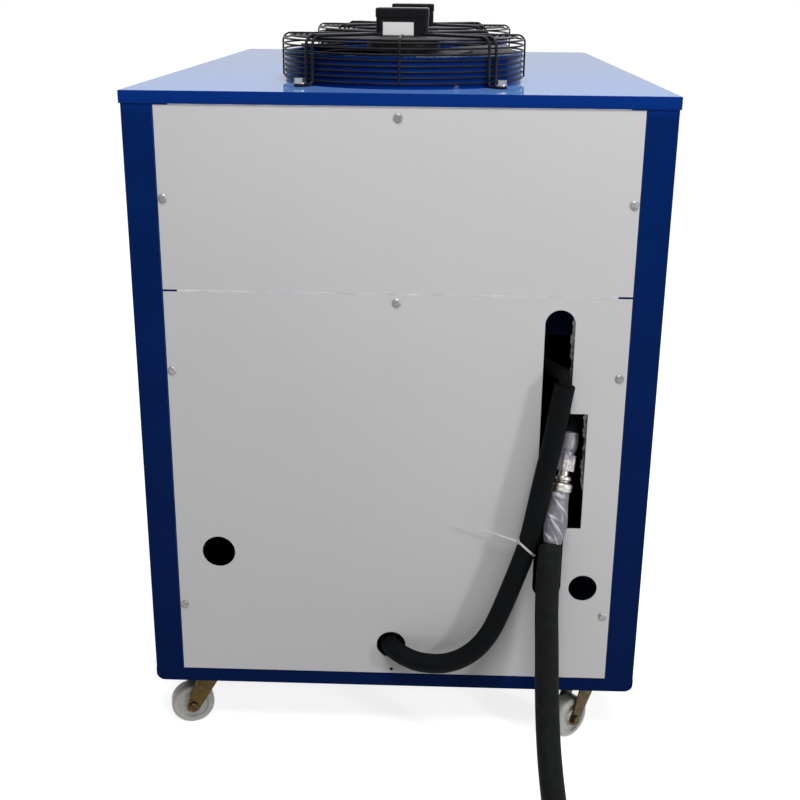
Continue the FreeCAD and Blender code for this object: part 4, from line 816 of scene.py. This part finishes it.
def floor_paper():
    """Pale paper, with the glow added to what the paper itself sends back."""
    paper = Finish("floor_paper", Roughness=0.9, Specular_IOR_Level=0.1)
    tone = paper.mix(paper.noise(30.0, 3.0) * 0.06, rgb(0.80, 0.80, 0.80), rgb(0.74, 0.74, 0.74))
    paper.to("Base Color", tone)
    distance = paper.node("VectorMath", {"operation": "LENGTH"}, {0: paper.place}, "Value")
    away = distance.between(SHADED_REACH, FAR_REACH)
    strength = seen_directly(paper) * (away * (FAR_GLOW - SHADED_GLOW) + SHADED_GLOW)
    glow = paper.node("Emission", None, {"Strength": strength})
    both = paper.node("AddShader", None, {0: Value(paper, paper.shader.outputs[0]), 1: glow})
    paper.tree.links.new(both.output, paper.tree.nodes["Material Output"].inputs["Surface"])
    return paper


def floor_sheet(half):
    """A flat square with corners at plus and minus half, large enough to reach the horizon in every view."""
    mesh = bpy.data.meshes.new("floor")
    corners = [(-half, -half, 0), (half, -half, 0), (half, half, 0), (-half, half, 0)]
    mesh.from_pydata(corners, [], [(0, 1, 2, 3)])
    mesh.materials.append(floor_paper().material)
    made = bpy.data.objects.new("floor", mesh)
    bpy.context.scene.collection.objects.link(made)
    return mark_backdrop(made)


floor_sheet(FLOOR_HALF)
print("floor", 2 * FLOOR_HALF, "m wide")

# %% [markdown]
# The air round the machine is white where the camera sees it. The same white as a light would fill every
# shadow, so what falls on the machine from all sides is only a small part of it. Mirror and clear rays
# see it white too, or the metal and the film would reflect a dark room.

# %% The world
AIR_LIGHT = 0.07


class Sky(Finish):
    """The world's own small network, with the same way of making nodes."""

    def __init__(self, world):
        world.use_nodes = True
        self.tree = world.node_tree
        self.tree.nodes.clear()

    def show(self, light):
        self.tree.links.new(light.output, self.tree.nodes.new("ShaderNodeOutputWorld").inputs["Surface"])


world = bpy.data.worlds.new("studio")
bpy.context.scene.world = world
sky = Sky(world)
strength = seen_directly(sky) * (1.0 - AIR_LIGHT) + AIR_LIGHT
sky.show(sky.node("Background", None, {"Color": rgb(1.0, 1.0, 1.0), "Strength": strength}))
print("air gives", AIR_LIGHT, "of the light it shows")

# %% [markdown]
# Three soft lamps light the machine. A sun would draw hard edges, but a wide lamp's shadow is soft as in
# a studio. The large one in front and above does most of the work, a small one low on the right draws
# the hoses' shadows, and a broad one behind lights the lid.

# %% The lamps
LAMPS = [
    ("front_lamp", (0.20, -1.75, 2.60), (0.1, -0.55, 1.00), 1.1, 44.0, (1.0, 0.99, 0.975)),
    ("right_lamp", (2.3, -2.1, 1.05), (0.2, -0.55, 0.50), 0.30, 19.0, (1.0, 0.985, 0.96)),
    ("back_lamp", (0.3, 2.6, 2.6), (0.0, 0.2, 0.9), 2.0, 30.0, (0.95, 0.975, 1.0)),
]


def lamp(name, place, target, size, power, color):
    """A square soft lamp that faces its target: its -Z is the way from its place to the target."""
    light = bpy.data.lights.new(name, "AREA")
    light.shape = "SQUARE"
    light.size = size
    light.energy = power
    light.color = color
    made = bpy.data.objects.new(name, light)
    bpy.context.scene.collection.objects.link(made)
    ahead = np.array(target, float) - np.array(place, float)
    ahead /= np.linalg.norm(ahead)
    side = np.cross(ahead, (0.0, 0.0, 1.0))
    side /= np.linalg.norm(side)
    turn = np.eye(4)
    turn[:3, :3] = np.column_stack([side, np.cross(side, ahead), -ahead])
    turn[:3, 3] = place
    made.matrix_world = turn.T


for row in LAMPS:
    lamp(*row)
    print(row[0], row[4], "W")

# %% [markdown]
# Last, the scene is brought up to date.

# %% The scene brought up to date
bpy.context.view_layer.update()
